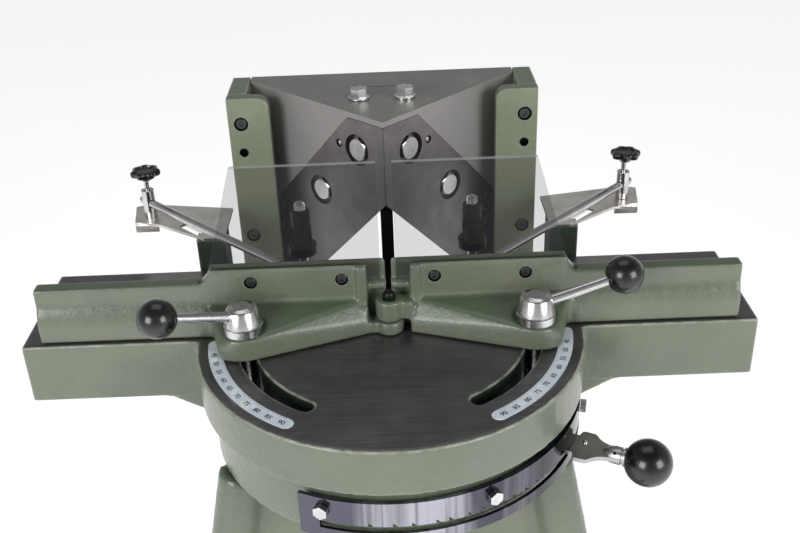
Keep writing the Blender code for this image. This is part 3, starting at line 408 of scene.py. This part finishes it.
def soften(piece, width, segments=2, smooth_under=35.0):
    """Small bevels on the sharp edges and smooth shading on round stretches."""
    step = piece.modifiers.new("edge", "BEVEL")
    step.width = width
    step.segments = segments
    step.limit_method = "ANGLE"
    step.angle_limit = math.radians(32)
    settle(piece)
    piece.data.shade_smooth()
    piece.data.set_sharp_from_angle(angle=math.radians(smooth_under))
    step = piece.modifiers.new("flats", "WEIGHTED_NORMAL")
    step.keep_sharp = True
    settle(piece)
    return piece


def melt(piece, voxel, rounds, keep=1.0):
    """Turns sharp CAD edges into the soft edges and fillets of a casting."""
    step = piece.modifiers.new("voxels", "REMESH")
    step.mode = "VOXEL"
    step.voxel_size = voxel
    step = piece.modifiers.new("fillets", "SMOOTH")
    step.factor = 0.5
    step.iterations = rounds
    if keep < 1.0:
        step = piece.modifiers.new("lighten", "DECIMATE")
        step.ratio = keep
    settle(piece)
    piece.data.shade_smooth()
    return piece


def turned(profile, start, axis, sides=64):
    """A solid of revolution. Profile is (distance along the axis, radius) from end to end."""
    form = bmesh.new()
    rings = []
    for along, radius in profile:
        rings.append([form.verts.new((radius * math.cos(2 * math.pi * k / sides),
                                      radius * math.sin(2 * math.pi * k / sides), along))
                      for k in range(sides)])
    for low, high in zip(rings, rings[1:]):
        for k in range(sides):
            form.faces.new((low[k], low[(k + 1) % sides], high[(k + 1) % sides], high[k]))
    form.faces.new(list(reversed(rings[0])))
    form.faces.new(rings[-1])
    turn = Vector(axis).to_track_quat("Z", "Y").to_matrix().to_4x4()
    form.transform(Matrix.Translation(Vector(start)) @ turn)
    mesh = bpy.data.meshes.new("turned")
    form.to_mesh(mesh)
    form.free()
    return mesh


def turned_piece(name, profile, start, axis, look, sides=64, smooth_under=38.0):
    piece = link(name, turned(profile, start, axis, sides), (look,))
    piece.data.shade_smooth()
    piece.data.set_sharp_from_angle(angle=math.radians(smooth_under))
    return piece


def block(low, high):
    form = bmesh.new()
    bmesh.ops.create_cube(form, size=1.0)
    low, high = Vector(low), Vector(high)
    for vert in form.verts:
        vert.co = Vector(((low[i] + high[i]) / 2 + vert.co[i] * (high[i] - low[i])
                          for i in range(3)))
    mesh = bpy.data.meshes.new("block")
    form.to_mesh(mesh)
    form.free()
    return mesh


def joined(name, meshes, looks):
    """One piece from several meshes that stay separate shells."""
    form = bmesh.new()
    for mesh in meshes:
        form.from_mesh(mesh)
    mesh = bpy.data.meshes.new(name + "_form")
    form.to_mesh(mesh)
    form.free()
    return link(name, mesh, looks)


# ---------------------------------------------------------------- castings
def hole(centre, axis, radius, depth, sides=40):
    """A cylinder to carve with: it enters from just outside the surface at centre."""
    inward = -Vector(axis).normalized()
    start = Vector(centre) - inward * 2 * MM
    mesh = turned(((0, radius), (depth + 2 * MM, radius)), start, inward, sides)
    return link("cutter", mesh, ("black_steel",))


def cap_screw(name, centre, axis, radius, body, look, slot, sunk=0.6 * MM):
    """A socket head screw that sits in its hole, with the hexagon socket open."""
    outward = Vector(axis).normalized()
    start = Vector(centre) - outward * (3 * MM + sunk)
    profile = ((0, radius * 0.7), (0.2 * MM, radius), (2.6 * MM, radius),
               (3.0 * MM, radius - 0.4 * MM))
    screw = turned_piece(name, profile, start, outward, look, 36)
    socket = turned(((0, radius * 0.52), (6 * MM, radius * 0.52)), start + outward * 1.0 * MM,
                    outward, 6)
    carve(screw, link("cutter", socket, (look,)))
    return detail(screw, body, slot)


def arc_points(radius, start, end, count):
    """Points on an arc about the fence pin, angles in degrees."""
    turns = [math.radians(start + (end - start) * k / (count - 1)) for k in range(count)]
    return [(radius * math.cos(turn), radius * math.sin(turn)) for turn in turns]


def slab(outline, low, high):
    """An upright prism over a closed outline in plan."""
    form = bmesh.new()
    rings = [[form.verts.new((x, y, z)) for x, y in outline] for z in (low, high)]
    count = len(outline)
    for k in range(count):
        form.faces.new((rings[0][k], rings[0][(k + 1) % count], rings[1][(k + 1) % count],
                        rings[1][k]))
    form.faces.new(list(reversed(rings[0])))
    form.faces.new(rings[1])
    bmesh.ops.recalc_face_normals(form, faces=form.faces)
    mesh = bpy.data.meshes.new("slab")
    form.to_mesh(mesh)
    form.free()
    return mesh


def make_castings():
    table = melt(copy_node("table", ("table_paint",)), 1.8 * MM, 3)
    stems = [node_middle(f"rest_stem_{name}") for name, _ in SIDES]
    carve(table, *[hole((stem.x, stem.y, TABLE_TOP), (0, 0, 1), 4.8 * MM, 39 * MM)
                   for stem in stems])
    stand_in(table, "table")
    stand_in(melt(copy_node("pedestal", ("green_paint",)), 4.0 * MM, 8), "pedestal")
    stand_in(melt(copy_node("carriage", ("carriage_paint",)), 2.0 * MM, 4), "carriage")
    for name, side in SIDES:
        block_node = f"support_block_{name}"
        stand_in(melt(copy_node(block_node, ("dark_green",)), 1.0 * MM, 5), block_node)
        make_fence_skin(name, side)
        make_gib_skin(name, side)


FENCE_FACE_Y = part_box("fence_left")[1].y - 14.5 * MM
FENCE_SCREWS = (39.5 * MM, 117.0 * MM)
FENCE_SCREW_Z = TABLE_TOP + 50 * MM


def make_fence_skin(name, side):
    node = f"fence_{name}"
    skin = copy_node(node, ("green_paint",))
    low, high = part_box(node)
    rib = sorted((side * 18.5 * MM, side * 27 * MM))
    ridge = link("ridge", block((rib[0], FENCE_FACE_Y - 3 * MM, TABLE_TOP + 20 * MM),
                                (rib[1], FENCE_FACE_Y + 1 * MM, high.z - 0.5 * MM)),
                 ("green_paint",))
    slope = link("slope", slab([(x, z) for x, z in
                                ((151 * MM, 49 * MM), (160 * MM, 49 * MM), (151 * MM, 61 * MM))],
                               0.0, 1.0), ("green_paint",))
    slope.data.transform(Matrix(((side, 0, 0, 0), (0, 0, 14.3 * MM, FENCE_FACE_Y + 0.1 * MM),
                                 (0, 1, 0, TABLE_TOP), (0, 0, 0, 1))))
    face_out(slope)
    fill = [(0.5, 34), (-3.2, 28.5), (-5.2, 24.5), (0.5, 24.5)]
    shave = [(-6.4, 17.0), (-5.9, 19.0), (-4.4, 24.6), (-3.0, 29.0), (-7.5, 29.0), (-7.5, 17.0)]
    pieces = []
    for number, outline in enumerate((fill, shave)):
        ledge = link("ledge", slab([(y * MM, z * MM) for y, z in outline], 0.0, 1.0),
                     ("green_paint",))
        start, end = (157 * MM, high.x if side > 0 else -low.x)
        ledge.data.transform(Matrix(((0, 0, side * (end - start + 1 * MM * number),
                                      side * start),
                                     (1, 0, 0, FENCE_FACE_Y), (0, 1, 0, TABLE_TOP),
                                     (0, 0, 0, 1))))
        face_out(ledge)
        pieces.append(ledge)
    unite(skin, ridge, slope, pieces[0])
    carve(skin, pieces[1])
    melt(skin, 1.0 * MM, 45)
    cutters = [hole((side * x, FENCE_FACE_Y, FENCE_SCREW_Z), (0, -1, 0), 5.6 * MM, 4 * MM)
               for x in FENCE_SCREWS]
    stand_in(carve(skin, *cutters), node)
    for number, x in enumerate(FENCE_SCREWS):
        cap_screw(f"guard_screw_{name}_{number + 1}", (side * x, FENCE_FACE_Y, FENCE_SCREW_Z),
                  (0, -1, 0), 4.3 * MM, node, "screw_steel", "black_steel")


GIB_X = 139.2 * MM
GIB_SCREW_Z = (0.0 * MM, 121.7 * MM)
GIB_HOLE_Z = 92 * MM


def make_gib_skin(name, side):
    node = f"gib_{name}"
    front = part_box(node)[0].y
    skin = melt(copy_node(node, ("carriage_paint",)), 1.0 * MM, 8)
    spots = [(side * GIB_X, front, TABLE_TOP + z) for z in GIB_SCREW_Z]
    plain = (side * GIB_X, front, TABLE_TOP + GIB_HOLE_Z)
    cutters = [hole(spot, (0, -1, 0), 7.0 * MM, 4 * MM) for spot in spots]
    cutters.append(hole(plain, (0, -1, 0), 4.6 * MM, 9 * MM))
    stand_in(carve(skin, *cutters), node)
    for number, spot in enumerate(spots):
        cap_screw(f"gib_screw_{name}_{number + 1}", spot, (0, -1, 0), 5.3 * MM, "carriage",
                  "screw_steel", "black_steel", sunk=0.8 * MM)


# ---------------------------------------------------------------- knife head
APEX_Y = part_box("knife_block")[0].y
FACE_AXIS = math.sqrt(0.5)


def on_knife(side, along, z, out=0.0):
    """A point on a knife face: run from the apex, height above the table, stand-off."""
    return Vector((side * (along + out) * FACE_AXIS, APEX_Y + (along - out) * FACE_AXIS,
                   TABLE_TOP + z))


def make_head():
    middle = Vector((0, APEX_Y + 154 * MM, 0))
    groove = []
    for radius, turns in ((53.6 * MM, range(-122, -57, 4)), (52.6 * MM, range(-58, -123, -4))):
        groove += [(radius * math.cos(math.radians(t)),
                    middle.y + radius * math.sin(math.radians(t))) for t in turns]
    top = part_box("knife_block")[1].z
    cutter = link("cutter", slab(groove, top - 0.6 * MM, top + 2 * MM), ("black_steel",))
    skin = carve(copy_node("knife_block", ("machined_iron",)), cutter)
    stand_in(soften(skin, 0.5 * MM), "knife_block")
    for name, side in SIDES:
        outward = Vector((side, -1, 0)).normalized()
        skin = copy_node(f"knife_{name}", ("knife_steel",))
        pins = [on_knife(side, u * MM, z * MM) for u, z in ((60, 113.5), (144.5, 24.5))]
        carve(skin, *[hole(pin, outward, 4.0 * MM, 2.5 * MM, 24) for pin in pins])
        stand_in(soften(skin, 0.4 * MM), f"knife_{name}")
        for number, pin in enumerate(pins):
            profile = ((0, 2.0 * MM), (1.4 * MM, 2.6 * MM), (2.2 * MM, 2.4 * MM),
                       (2.5 * MM, 1.6 * MM))
            detail(turned_piece(f"knife_pin_{name}_{number + 1}", profile,
                                pin - outward * 3.2 * MM, outward, "bright_steel", 24),
                   "knife_head", "bright_steel")
        for number in (1, 2, 3):
            make_hex_bolt(f"knife_bolt_{name}_{number}", outward)


def make_hex_bolt(node, outward):
    """Hexagon head with its chamfered, domed crown turned on."""
    skin = copy_node(node, ("bright_steel",))
    low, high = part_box(node)
    centre = (low + high) / 2
    spread = [(Vector(v.co) - centre) for v in skin.data.vertices]
    reach = max(v.dot(outward) for v in spread)
    corner = max((v - outward * v.dot(outward)).length for v in spread)
    crown = turned(((-20 * MM, corner * 1.2), (reach - 1.7 * MM, corner * 1.2),
                    (reach - 1.7 * MM, corner * 1.02), (reach, corner * 0.84),
                    (reach + 0.01 * MM, 0.3 * MM)), centre, outward, 48)
    step = skin.modifiers.new("crown", "BOOLEAN")
    step.operation = "INTERSECT"
    step.solver = "EXACT"
    cutter = link("cutter", crown, ("bright_steel",))
    step.object = cutter
    settle(skin)
    bpy.data.objects.remove(cutter, do_unlink=True)
    return stand_in(soften(skin, 0.3 * MM, 1, 22.0), node)


# ---------------------------------------------------------------- turned and moulded pieces
def node_middle(node):
    low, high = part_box(node)
    return (low + high) / 2


def ball_knob(node, root):
    """Phenolic ball with a flat neck and a faint mould line, facing its rod."""
    low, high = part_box(node)
    centre = (low + high) / 2
    radius = max(high - low) / 2
    away = (centre - root).normalized()
    neck = math.radians(26)
    profile = [(-radius * math.cos(neck) + 0.6 * MM, radius * math.sin(neck) - 1.2 * MM),
               (-radius * math.cos(neck), radius * math.sin(neck) - 0.5 * MM)]
    steps = 34
    for k in range(steps + 1):
        turn = neck + (math.pi - neck - 0.02) * k / steps
        proud = 0.05 * MM if k == steps // 2 else 0.0
        profile.append((-radius * math.cos(turn), radius * math.sin(turn) + proud))
    return stand_in(turned_piece(f"{node}_skin", profile, centre, away, "black_plastic", 72,
                                 60), node)


def unite(piece, *others):
    for other in others:
        step = piece.modifiers.new("unite", "BOOLEAN")
        step.operation = "UNION"
        step.solver = "EXACT"
        step.object = other
        settle(piece)
        bpy.data.objects.remove(other, do_unlink=True)
    return piece


CLAMP_RADIUS = 125 * MM
CLAMP_TURN = math.radians(12)
HUB_FOOT = TABLE_TOP + 21.8 * MM


def make_clamp_skin(name, side):
    """Turned clamp hub with a grooved foot, tapered rod, stud and nut."""
    node = f"clamp_lever_{name}"
    centre = Vector((side * CLAMP_RADIUS * math.cos(CLAMP_TURN),
                     -CLAMP_RADIUS * math.sin(CLAMP_TURN), 0))
    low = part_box(node)[0].z
    foot = Vector((centre.x, centre.y, HUB_FOOT))
    hub = ((0, 15.9 * MM), (0.5 * MM, 16.5 * MM), (7.0 * MM, 16.5 * MM), (7.5 * MM, 15.9 * MM),
           (8.1 * MM, 15.9 * MM), (8.6 * MM, 16.2 * MM), (21.6 * MM, 13.0 * MM),
           (22.6 * MM, 12.3 * MM), (23.2 * MM, 11.2 * MM), (23.5 * MM, 8.0 * MM),
           (24.0 * MM, 7.4 * MM), (24.0 * MM, 0.4 * MM))
    look = "bright_steel"
    piece = turned_piece(f"{node}_skin", hub, foot, (0, 0, 1), look, 72)
    ball_at = node_middle(f"clamp_ball_{name}")
    root = foot + Vector((0, 0, 13.2 * MM))
    away = (ball_at - root).normalized()
    length = (ball_at - root).length - 13.2 * MM
    bar = ((0, 4.8 * MM), (17 * MM, 4.8 * MM), (length - 7 * MM, 4.1 * MM),
           (length, 4.1 * MM))
    rod = turned_piece("bar", bar, root, away, look, 40)
    stud_top = foot.z - low + 1 * MM
    stud = turned_piece("stud", ((0, 4.2 * MM), (0.8 * MM, 5.0 * MM), (stud_top, 5.0 * MM)),
                        (centre.x, centre.y, low), (0, 0, 1), look, 36)
    nut = turned_piece("nut", ((0, 8.6 * MM), (0.9 * MM, 9.5 * MM), (8.8 * MM, 9.5 * MM),
                               (9.7 * MM, 8.6 * MM)),
                       (centre.x, centre.y, TABLE_TOP - 52 * MM), (0, 0, 1), look, 6)
    unite(piece, rod, stud, nut)
    piece.data.set_sharp_from_angle(angle=math.radians(38))
    stand_in(piece, node)
    ball_knob(f"clamp_ball_{name}", root)


def make_star_knob(name):
    """Seven-lobed grip with a dished top and a collar under it."""
    node = f"star_knob_{name}"
    low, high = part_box(node)
    centre = node_middle(node)
    radius = max(high.x - low.x, high.y - low.y) / 2
    tall = high.z - low.z
    rings = ((0, 0.36, 0), (0.10, 0.40, 0), (0.30, 0.52, 0.03), (0.42, 0.84, 0.07),
             (0.52, 0.90, 0.075), (0.80, 0.90, 0.075), (0.92, 0.86, 0.07), (1.0, 0.76, 0.05),
             (1.0, 0.62, 0.02), (0.86, 0.56, 0), (0.84, 0.02, 0))
    form = bmesh.new()
    sides = 140
    loops = []
    for height, share, lobe in rings:
        loop = []
        for k in range(sides):
            turn = 2 * math.pi * k / sides
            reach = radius * (share + lobe * math.cos(7 * turn))
            loop.append(form.verts.new((centre.x + reach * math.cos(turn),
                                        centre.y + reach * math.sin(turn),
                                        low.z + tall * height)))
        loops.append(loop)
    for lower, upper in zip(loops, loops[1:]):
        for k in range(sides):
            form.faces.new((lower[k], lower[(k + 1) % sides], upper[(k + 1) % sides], upper[k]))
    form.faces.new(list(reversed(loops[0])))
    form.faces.new(loops[-1])
    mesh = bpy.data.meshes.new("star")
    form.to_mesh(mesh)
    form.free()
    piece = link(f"{node}_skin", mesh, ("black_plastic",))
    piece.data.shade_smooth()
    piece.data.set_sharp_from_angle(angle=math.radians(50))
    return stand_in(piece, node)


def make_rest_post(name):
    """Knurled sleeve with a flange, and its threaded tip."""
    node = f"rest_sleeve_{name}"
    low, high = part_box(node)
    centre = node_middle(node)
    flange = (high.x - low.x) / 2
    tall = high.z - low.z
    body = 8.8 * MM
    profile = ((0, 4.5 * MM), (0, flange - 0.5 * MM), (0.5 * MM, flange), (8.4 * MM, flange),
               (9.0 * MM, flange - 0.6 * MM), (9.1 * MM, body - 0.7 * MM),
               (12 * MM, body - 0.7 * MM), (12.3 * MM, body), (27 * MM, body),
               (27.3 * MM, body - 0.8 * MM), (29.5 * MM, body - 0.8 * MM),
               (29.8 * MM, body - 0.2 * MM), (tall - 0.8 * MM, body - 0.2 * MM),
               (tall, body - 1.0 * MM), (tall, 0.5 * MM))
    mesh = turned(profile, (centre.x, centre.y, low.z), (0, 0, 1), 96)
    for vert in mesh.vertices:
        height = vert.co.z - low.z
        if 12.1 * MM < height < 27.1 * MM:
            flat = Vector((vert.co.x - centre.x, vert.co.y - centre.y, 0))
            number = round(math.atan2(flat.y, flat.x) / (2 * math.pi / 96))
            vert.co -= flat.normalized() * (0.35 * MM if number % 2 else 0.0)
    piece = link(f"{node}_skin", mesh, ("black_steel",))
    piece.data.shade_smooth()
    piece.data.set_sharp_from_angle(angle=math.radians(24))
    stand_in(piece, node)
    tip = f"rest_tip_{name}"
    low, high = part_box(tip)
    centre = node_middle(tip)
    tall = high.z - low.z
    outer = (high.x - low.x) / 2
    profile = [(0, outer - 1.1 * MM)]
    turns = 6
    for k in range(turns):
        start = tall * 0.86 * k / turns
        profile += [(start + 0.15 * MM, outer - 0.7 * MM),
                    (start + tall * 0.43 / turns, outer)]
    profile += [(tall * 0.88, outer - 0.7 * MM), (tall, outer - 1.7 * MM), (tall, 0.4 * MM)]
    stand_in(turned_piece(f"{tip}_skin", profile, (centre.x, centre.y, low.z), (0, 0, 1),
                          "bright_steel", 48, 20), tip)


# ---------------------------------------------------------------- indexing band and lever
BAND_SLOT_TOP = TABLE_TOP - 72.5 * MM
NOTCHES = (-97.5, -91, -86, -79.5, -76, -70.5, -66, -60, -56.5, -52, -47.5, -44)


def make_band():
    """Polished band with ratchet notches filed into the upper edge of its slot."""
    radius = max(abs(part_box("index_plate")[0].y), 0.1)
    teeth = bmesh.new()
    for degrees in NOTCHES:
        turn = math.radians(degrees)
        radial = Vector((math.cos(turn), math.sin(turn), 0))
        along = Vector((-math.sin(turn), math.cos(turn), 0))
        corners = ((0.0, -2.0 * MM), (0.0, 3.4 * MM), (6.5 * MM, -2.0 * MM))
        ends = [[teeth.verts.new(radial * (radius + out) + along * run
                                 + Vector((0, 0, BAND_SLOT_TOP + rise)))
                 for run, rise in corners] for out in (-8 * MM, 4 * MM)]
        teeth.faces.new(ends[0])
        teeth.faces.new(list(reversed(ends[1])))
        for k in range(3):
            teeth.faces.new((ends[0][k], ends[1][k], ends[1][(k + 1) % 3], ends[0][(k + 1) % 3]))
    bmesh.ops.recalc_face_normals(teeth, faces=teeth.faces)
    mesh = bpy.data.meshes.new("teeth")
    teeth.to_mesh(mesh)
    teeth.free()
    skin = carve(copy_node("index_plate", ("chrome",)), link("cutter", mesh, ("chrome",)))
    stand_in(soften(skin, 0.3 * MM), "index_plate")


LEVER_REST = math.radians(-25.5)
LEVER_Z = TABLE_TOP - 76 * MM


def make_lever():
    """Stamped lever with shaped shoulders, a turned ferrule and a ball grip."""
    eye = 17.6 * MM
    half = 12 * MM
    upper = [(half, half), (169 * MM, half), (170.5 * MM, 17.6 * MM), (173 * MM, 18.6 * MM),
             (181.5 * MM, 18.2 * MM), (183.5 * MM, 16.6 * MM), (186.5 * MM, 13.2 * MM),
             (190 * MM, 10.7 * MM), (194 * MM, 9.0 * MM), (199 * MM, 7.8 * MM),
             (204 * MM, 7.2 * MM)]
    outline = [(x, -w) for x, w in upper] + [(x, w) for x, w in reversed(upper)]
    blade = link("index_lever_skin", slab(outline, LEVER_Z - 2 * MM, LEVER_Z + 2 * MM),
                 ("plate_steel",))
    boss = turned_piece("eye", ((0, eye - 0.5 * MM), (0.5 * MM, eye), (7.5 * MM, eye),
                                (8 * MM, eye - 0.5 * MM)),
                        (0, 0, LEVER_Z - 4 * MM), (0, 0, 1), "plate_steel", 48)
    ferrule = turned_piece("ferrule", ((0, 1.5 * MM), (2 * MM, 3.4 * MM), (7 * MM, 7 * MM),
                                       (12 * MM, 7.6 * MM), (16.5 * MM, 7.6 * MM),
                                       (17 * MM, 6.6 * MM), (18.2 * MM, 6.6 * MM),
                                       (18.6 * MM, 8 * MM), (20 * MM, 8 * MM)),
                           (191.5 * MM, 0, LEVER_Z), (1, 0, 0), "bright_steel", 40)
    unite(blade, boss, ferrule)
    carve(blade, hole((0, 0, LEVER_Z + 4 * MM), (0, 0, 1), 8.8 * MM, 12 * MM),
          hole((203 * MM, 3.4 * MM, LEVER_Z + 7 * MM), (0, 0, 1), 1.3 * MM, 6 * MM, 16),
          hole((203 * MM, -5.2 * MM, LEVER_Z + 5.5 * MM), (0, -0.6, 1), 1.3 * MM, 6 * MM, 16))
    blade.data.transform(Matrix.Rotation(LEVER_REST, 4, "Z"))
    soften(blade, 0.4 * MM)
    stand_in(blade, "index_lever")
    ball_knob("index_ball", Vector((0, 0, LEVER_Z)))
    foot = Matrix.Rotation(LEVER_REST, 3, "Z") @ Vector((176 * MM, 4 * MM, LEVER_Z + 1.5 * MM))
    detail(turned_piece("index_rivet", ((0, 2.4 * MM), (1.2 * MM, 2.3 * MM), (1.9 * MM, 1.7 * MM),
                                        (2.2 * MM, 0.7 * MM)), foot, (0, 0, 1), "bright_steel",
                        24), "index_lever", "bright_steel")


# ---------------------------------------------------------------- scales
SCALE_RADIUS = 151 * MM
SCALE_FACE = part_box("scale_left")[1].z


def scale_mark(kind, turn, side, value=None):
    """Mesh of one tick or one number, printed flat on the scale."""
    if kind == "tick":
        long = value % 5 == 0
        mesh = block((-5.6 * MM, -0.13 * MM, 0), (-3.4 * MM if long else -4.4 * MM, 0.13 * MM,
                                                   0.03 * MM))
        place = Matrix.Translation((SCALE_RADIUS * math.cos(turn),
                                    SCALE_RADIUS * math.sin(turn), SCALE_FACE))
        mesh.transform(place @ Matrix.Rotation(turn, 4, "Z"))
        return mesh
    text = bpy.data.curves.new("number", "FONT")
    text.body = str(value)
    text.size = 6.2 * MM
    text.offset = 0.12 * MM
    text.align_x = "CENTER"
    text.align_y = "CENTER"
    text.extrude = 0.015 * MM
    writer = bpy.data.objects.new("number", text)
    bpy.context.scene.collection.objects.link(writer)
    bpy.context.view_layer.update()
    graph = bpy.context.evaluated_depsgraph_get()
    mesh = bpy.data.meshes.new_from_object(writer.evaluated_get(graph))
    bpy.data.objects.remove(writer, do_unlink=True)
    middle = SCALE_RADIUS + 0.8 * MM
    upright = turn + math.pi / 2
    place = Matrix.Translation((middle * math.cos(turn), middle * math.sin(turn),
                                SCALE_FACE + 0.02 * MM))
    mesh.transform(place @ Matrix.Rotation(upright, 4, "Z"))
    return mesh


def make_scale(name, side):
    node = f"scale_{name}"
    stand_in(soften(copy_node(node, ("scale_white",)), 0.2 * MM), node)
    marks = []
    for value in range(45, 91):
        turn = math.radians(-56 + (90 - value))
        if side < 0:
            turn = math.pi - turn
        if value % 5 == 0:
            marks.append(scale_mark("number", turn, side, value))
        marks.append(scale_mark("tick", turn, side, value))
    detail(joined(f"scale_marks_{name}", marks, ("print",)), "stand", "black_steel")


def make_pin():
    """Domed head of the fence pin."""
    low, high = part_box("hinge_pin")
    radius = 4.8 * MM
    tall = high.z - low.z
    dome = 5.2 * MM
    profile = [(0, radius - 0.6 * MM), (0.6 * MM, radius), (tall - 7.1 * MM, radius),
               (tall - 7.1 * MM, dome)]
    for k in range(8):
        turn = math.radians(6 + 83 * k / 7)
        profile.append((tall - dome + dome * math.sin(turn), dome * math.cos(turn)))
    stand_in(turned_piece("hinge_pin_skin", profile, (0, 0, low.z), (0, 0, 1), "black_steel",
                          40), "hinge_pin")


def make_plain():
    """Every node that keeps its CAD shape gets broken edges and its finish."""
    shown = {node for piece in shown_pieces() for node in piece.get("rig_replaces", [])}
    special = {"rest_bracket_left": "bracket_steel", "rest_bracket_right": "bracket_steel"}
    for node in sorted(CAD):
        if node in shown or node.startswith("guard_"):
            continue
        look = special.get(node, SLOT_OF[node])
        stand_in(soften(copy_node(node, (look,)), 0.35 * MM), node)
    for name, _ in SIDES:
        piece = copy_node(f"guard_{name}", ("sheet", "sheet_edge"))
        for face in piece.data.polygons:
            face.material_index = 0 if abs(face.normal.y) > 0.9 else 1
        stand_in(piece, f"guard_{name}")


make_castings()
make_head()
make_band()
make_lever()
make_pin()
for side_name, side_sign in SIDES:
    make_clamp_skin(side_name, side_sign)
    make_star_knob(side_name)
    make_rest_post(side_name)
    make_scale(side_name, side_sign)
make_plain()


# ---------------------------------------------------------------- floor, lights, camera
FLOOR_HALF = 14.0
floor = bpy.data.objects.new("floor", block((-FLOOR_HALF, -FLOOR_HALF, -0.02),
                                            (FLOOR_HALF, FLOOR_HALF, 0.0)))
bpy.context.scene.collection.objects.link(floor)
paper = Shader("pale_floor", roughness=0.9)
paper.colour(paper.blend(paper.spread(paper.noise(0.8), 0.3, 0.7), (0.86, 0.86, 0.87),
                         (0.9, 0.9, 0.9)))
paper.surface.inputs["Emission Color"].default_value = (1.0, 1.0, 1.0, 1.0)
paper.surface.inputs["Emission Strength"].default_value = 0.68
floor.data.materials.append(paper.material)


def softbox(name, place, aim, size, power, tint=(1.0, 1.0, 1.0)):
    data = bpy.data.lights.new(name, "AREA")
    data.shape = "RECTANGLE"
    data.size, data.size_y = size
    data.energy = power
    data.color = tint
    lamp = bpy.data.objects.new(name, data)
    lamp.location = place
    lamp.rotation_euler = (Vector(aim) - Vector(place)).to_track_quat("-Z", "Y").to_euler()
    bpy.context.scene.collection.objects.link(lamp)


CENTRE = (0.0, 0.05, TABLE_TOP)
softbox("top_box", (0.0, 0.5, 2.9), CENTRE, (1.6, 1.2), 7)
softbox("left_box", (-1.7, -2.0, 1.75), CENTRE, (1.3, 1.3), 43)
softbox("right_box", (1.9, -1.8, 1.7), CENTRE, (1.3, 1.3), 40)
world = bpy.data.worlds.new("studio")
world.use_nodes = True
sky = world.node_tree.nodes
ramp = sky.new("ShaderNodeValToRGB")
ramp.color_ramp.elements[0].position = 0.50
ramp.color_ramp.elements[0].color = (0.9, 0.9, 0.91, 1.0)
ramp.color_ramp.elements[1].position = 0.95
ramp.color_ramp.elements[1].color = (0.16, 0.16, 0.17, 1.0)
height = sky.new("ShaderNodeMapRange")
height.inputs["From Min"].default_value = -1.0
split = sky.new("ShaderNodeSeparateXYZ")
world.node_tree.links.new(sky.new("ShaderNodeTexCoord").outputs["Generated"], split.inputs[0])
world.node_tree.links.new(split.outputs["Z"], height.inputs["Value"])
world.node_tree.links.new(height.outputs[0], ramp.inputs["Fac"])
world.node_tree.links.new(ramp.outputs["Color"], sky["Background"].inputs[0])
sky["Background"].inputs[1].default_value = 0.6
bpy.context.scene.world = world

camera_data = bpy.data.cameras.new("camera")
camera_data.lens = 45.86
camera_data.sensor_width = 36.0
camera = bpy.data.objects.new("camera", camera_data)
YAW, PITCH, ROLL = math.radians(0.248), math.radians(28.56), math.radians(-2.142)
ahead = Vector((math.sin(YAW) * math.cos(PITCH), math.cos(YAW) * math.cos(PITCH),
                -math.sin(PITCH)))
level = Vector((math.cos(YAW), -math.sin(YAW), 0.0))
upright = level.cross(ahead)
right = level * math.cos(ROLL) + upright * math.sin(ROLL)
up = -level * math.sin(ROLL) + upright * math.cos(ROLL)
stance = Matrix((right, up, -ahead)).transposed().to_4x4()
stance.translation = Vector((0.007145, -0.75237, 1.33207))
camera.matrix_world = stance
bpy.context.scene.collection.objects.link(camera)
bpy.context.scene.camera = camera
bpy.context.scene.view_settings.view_transform = "Standard"
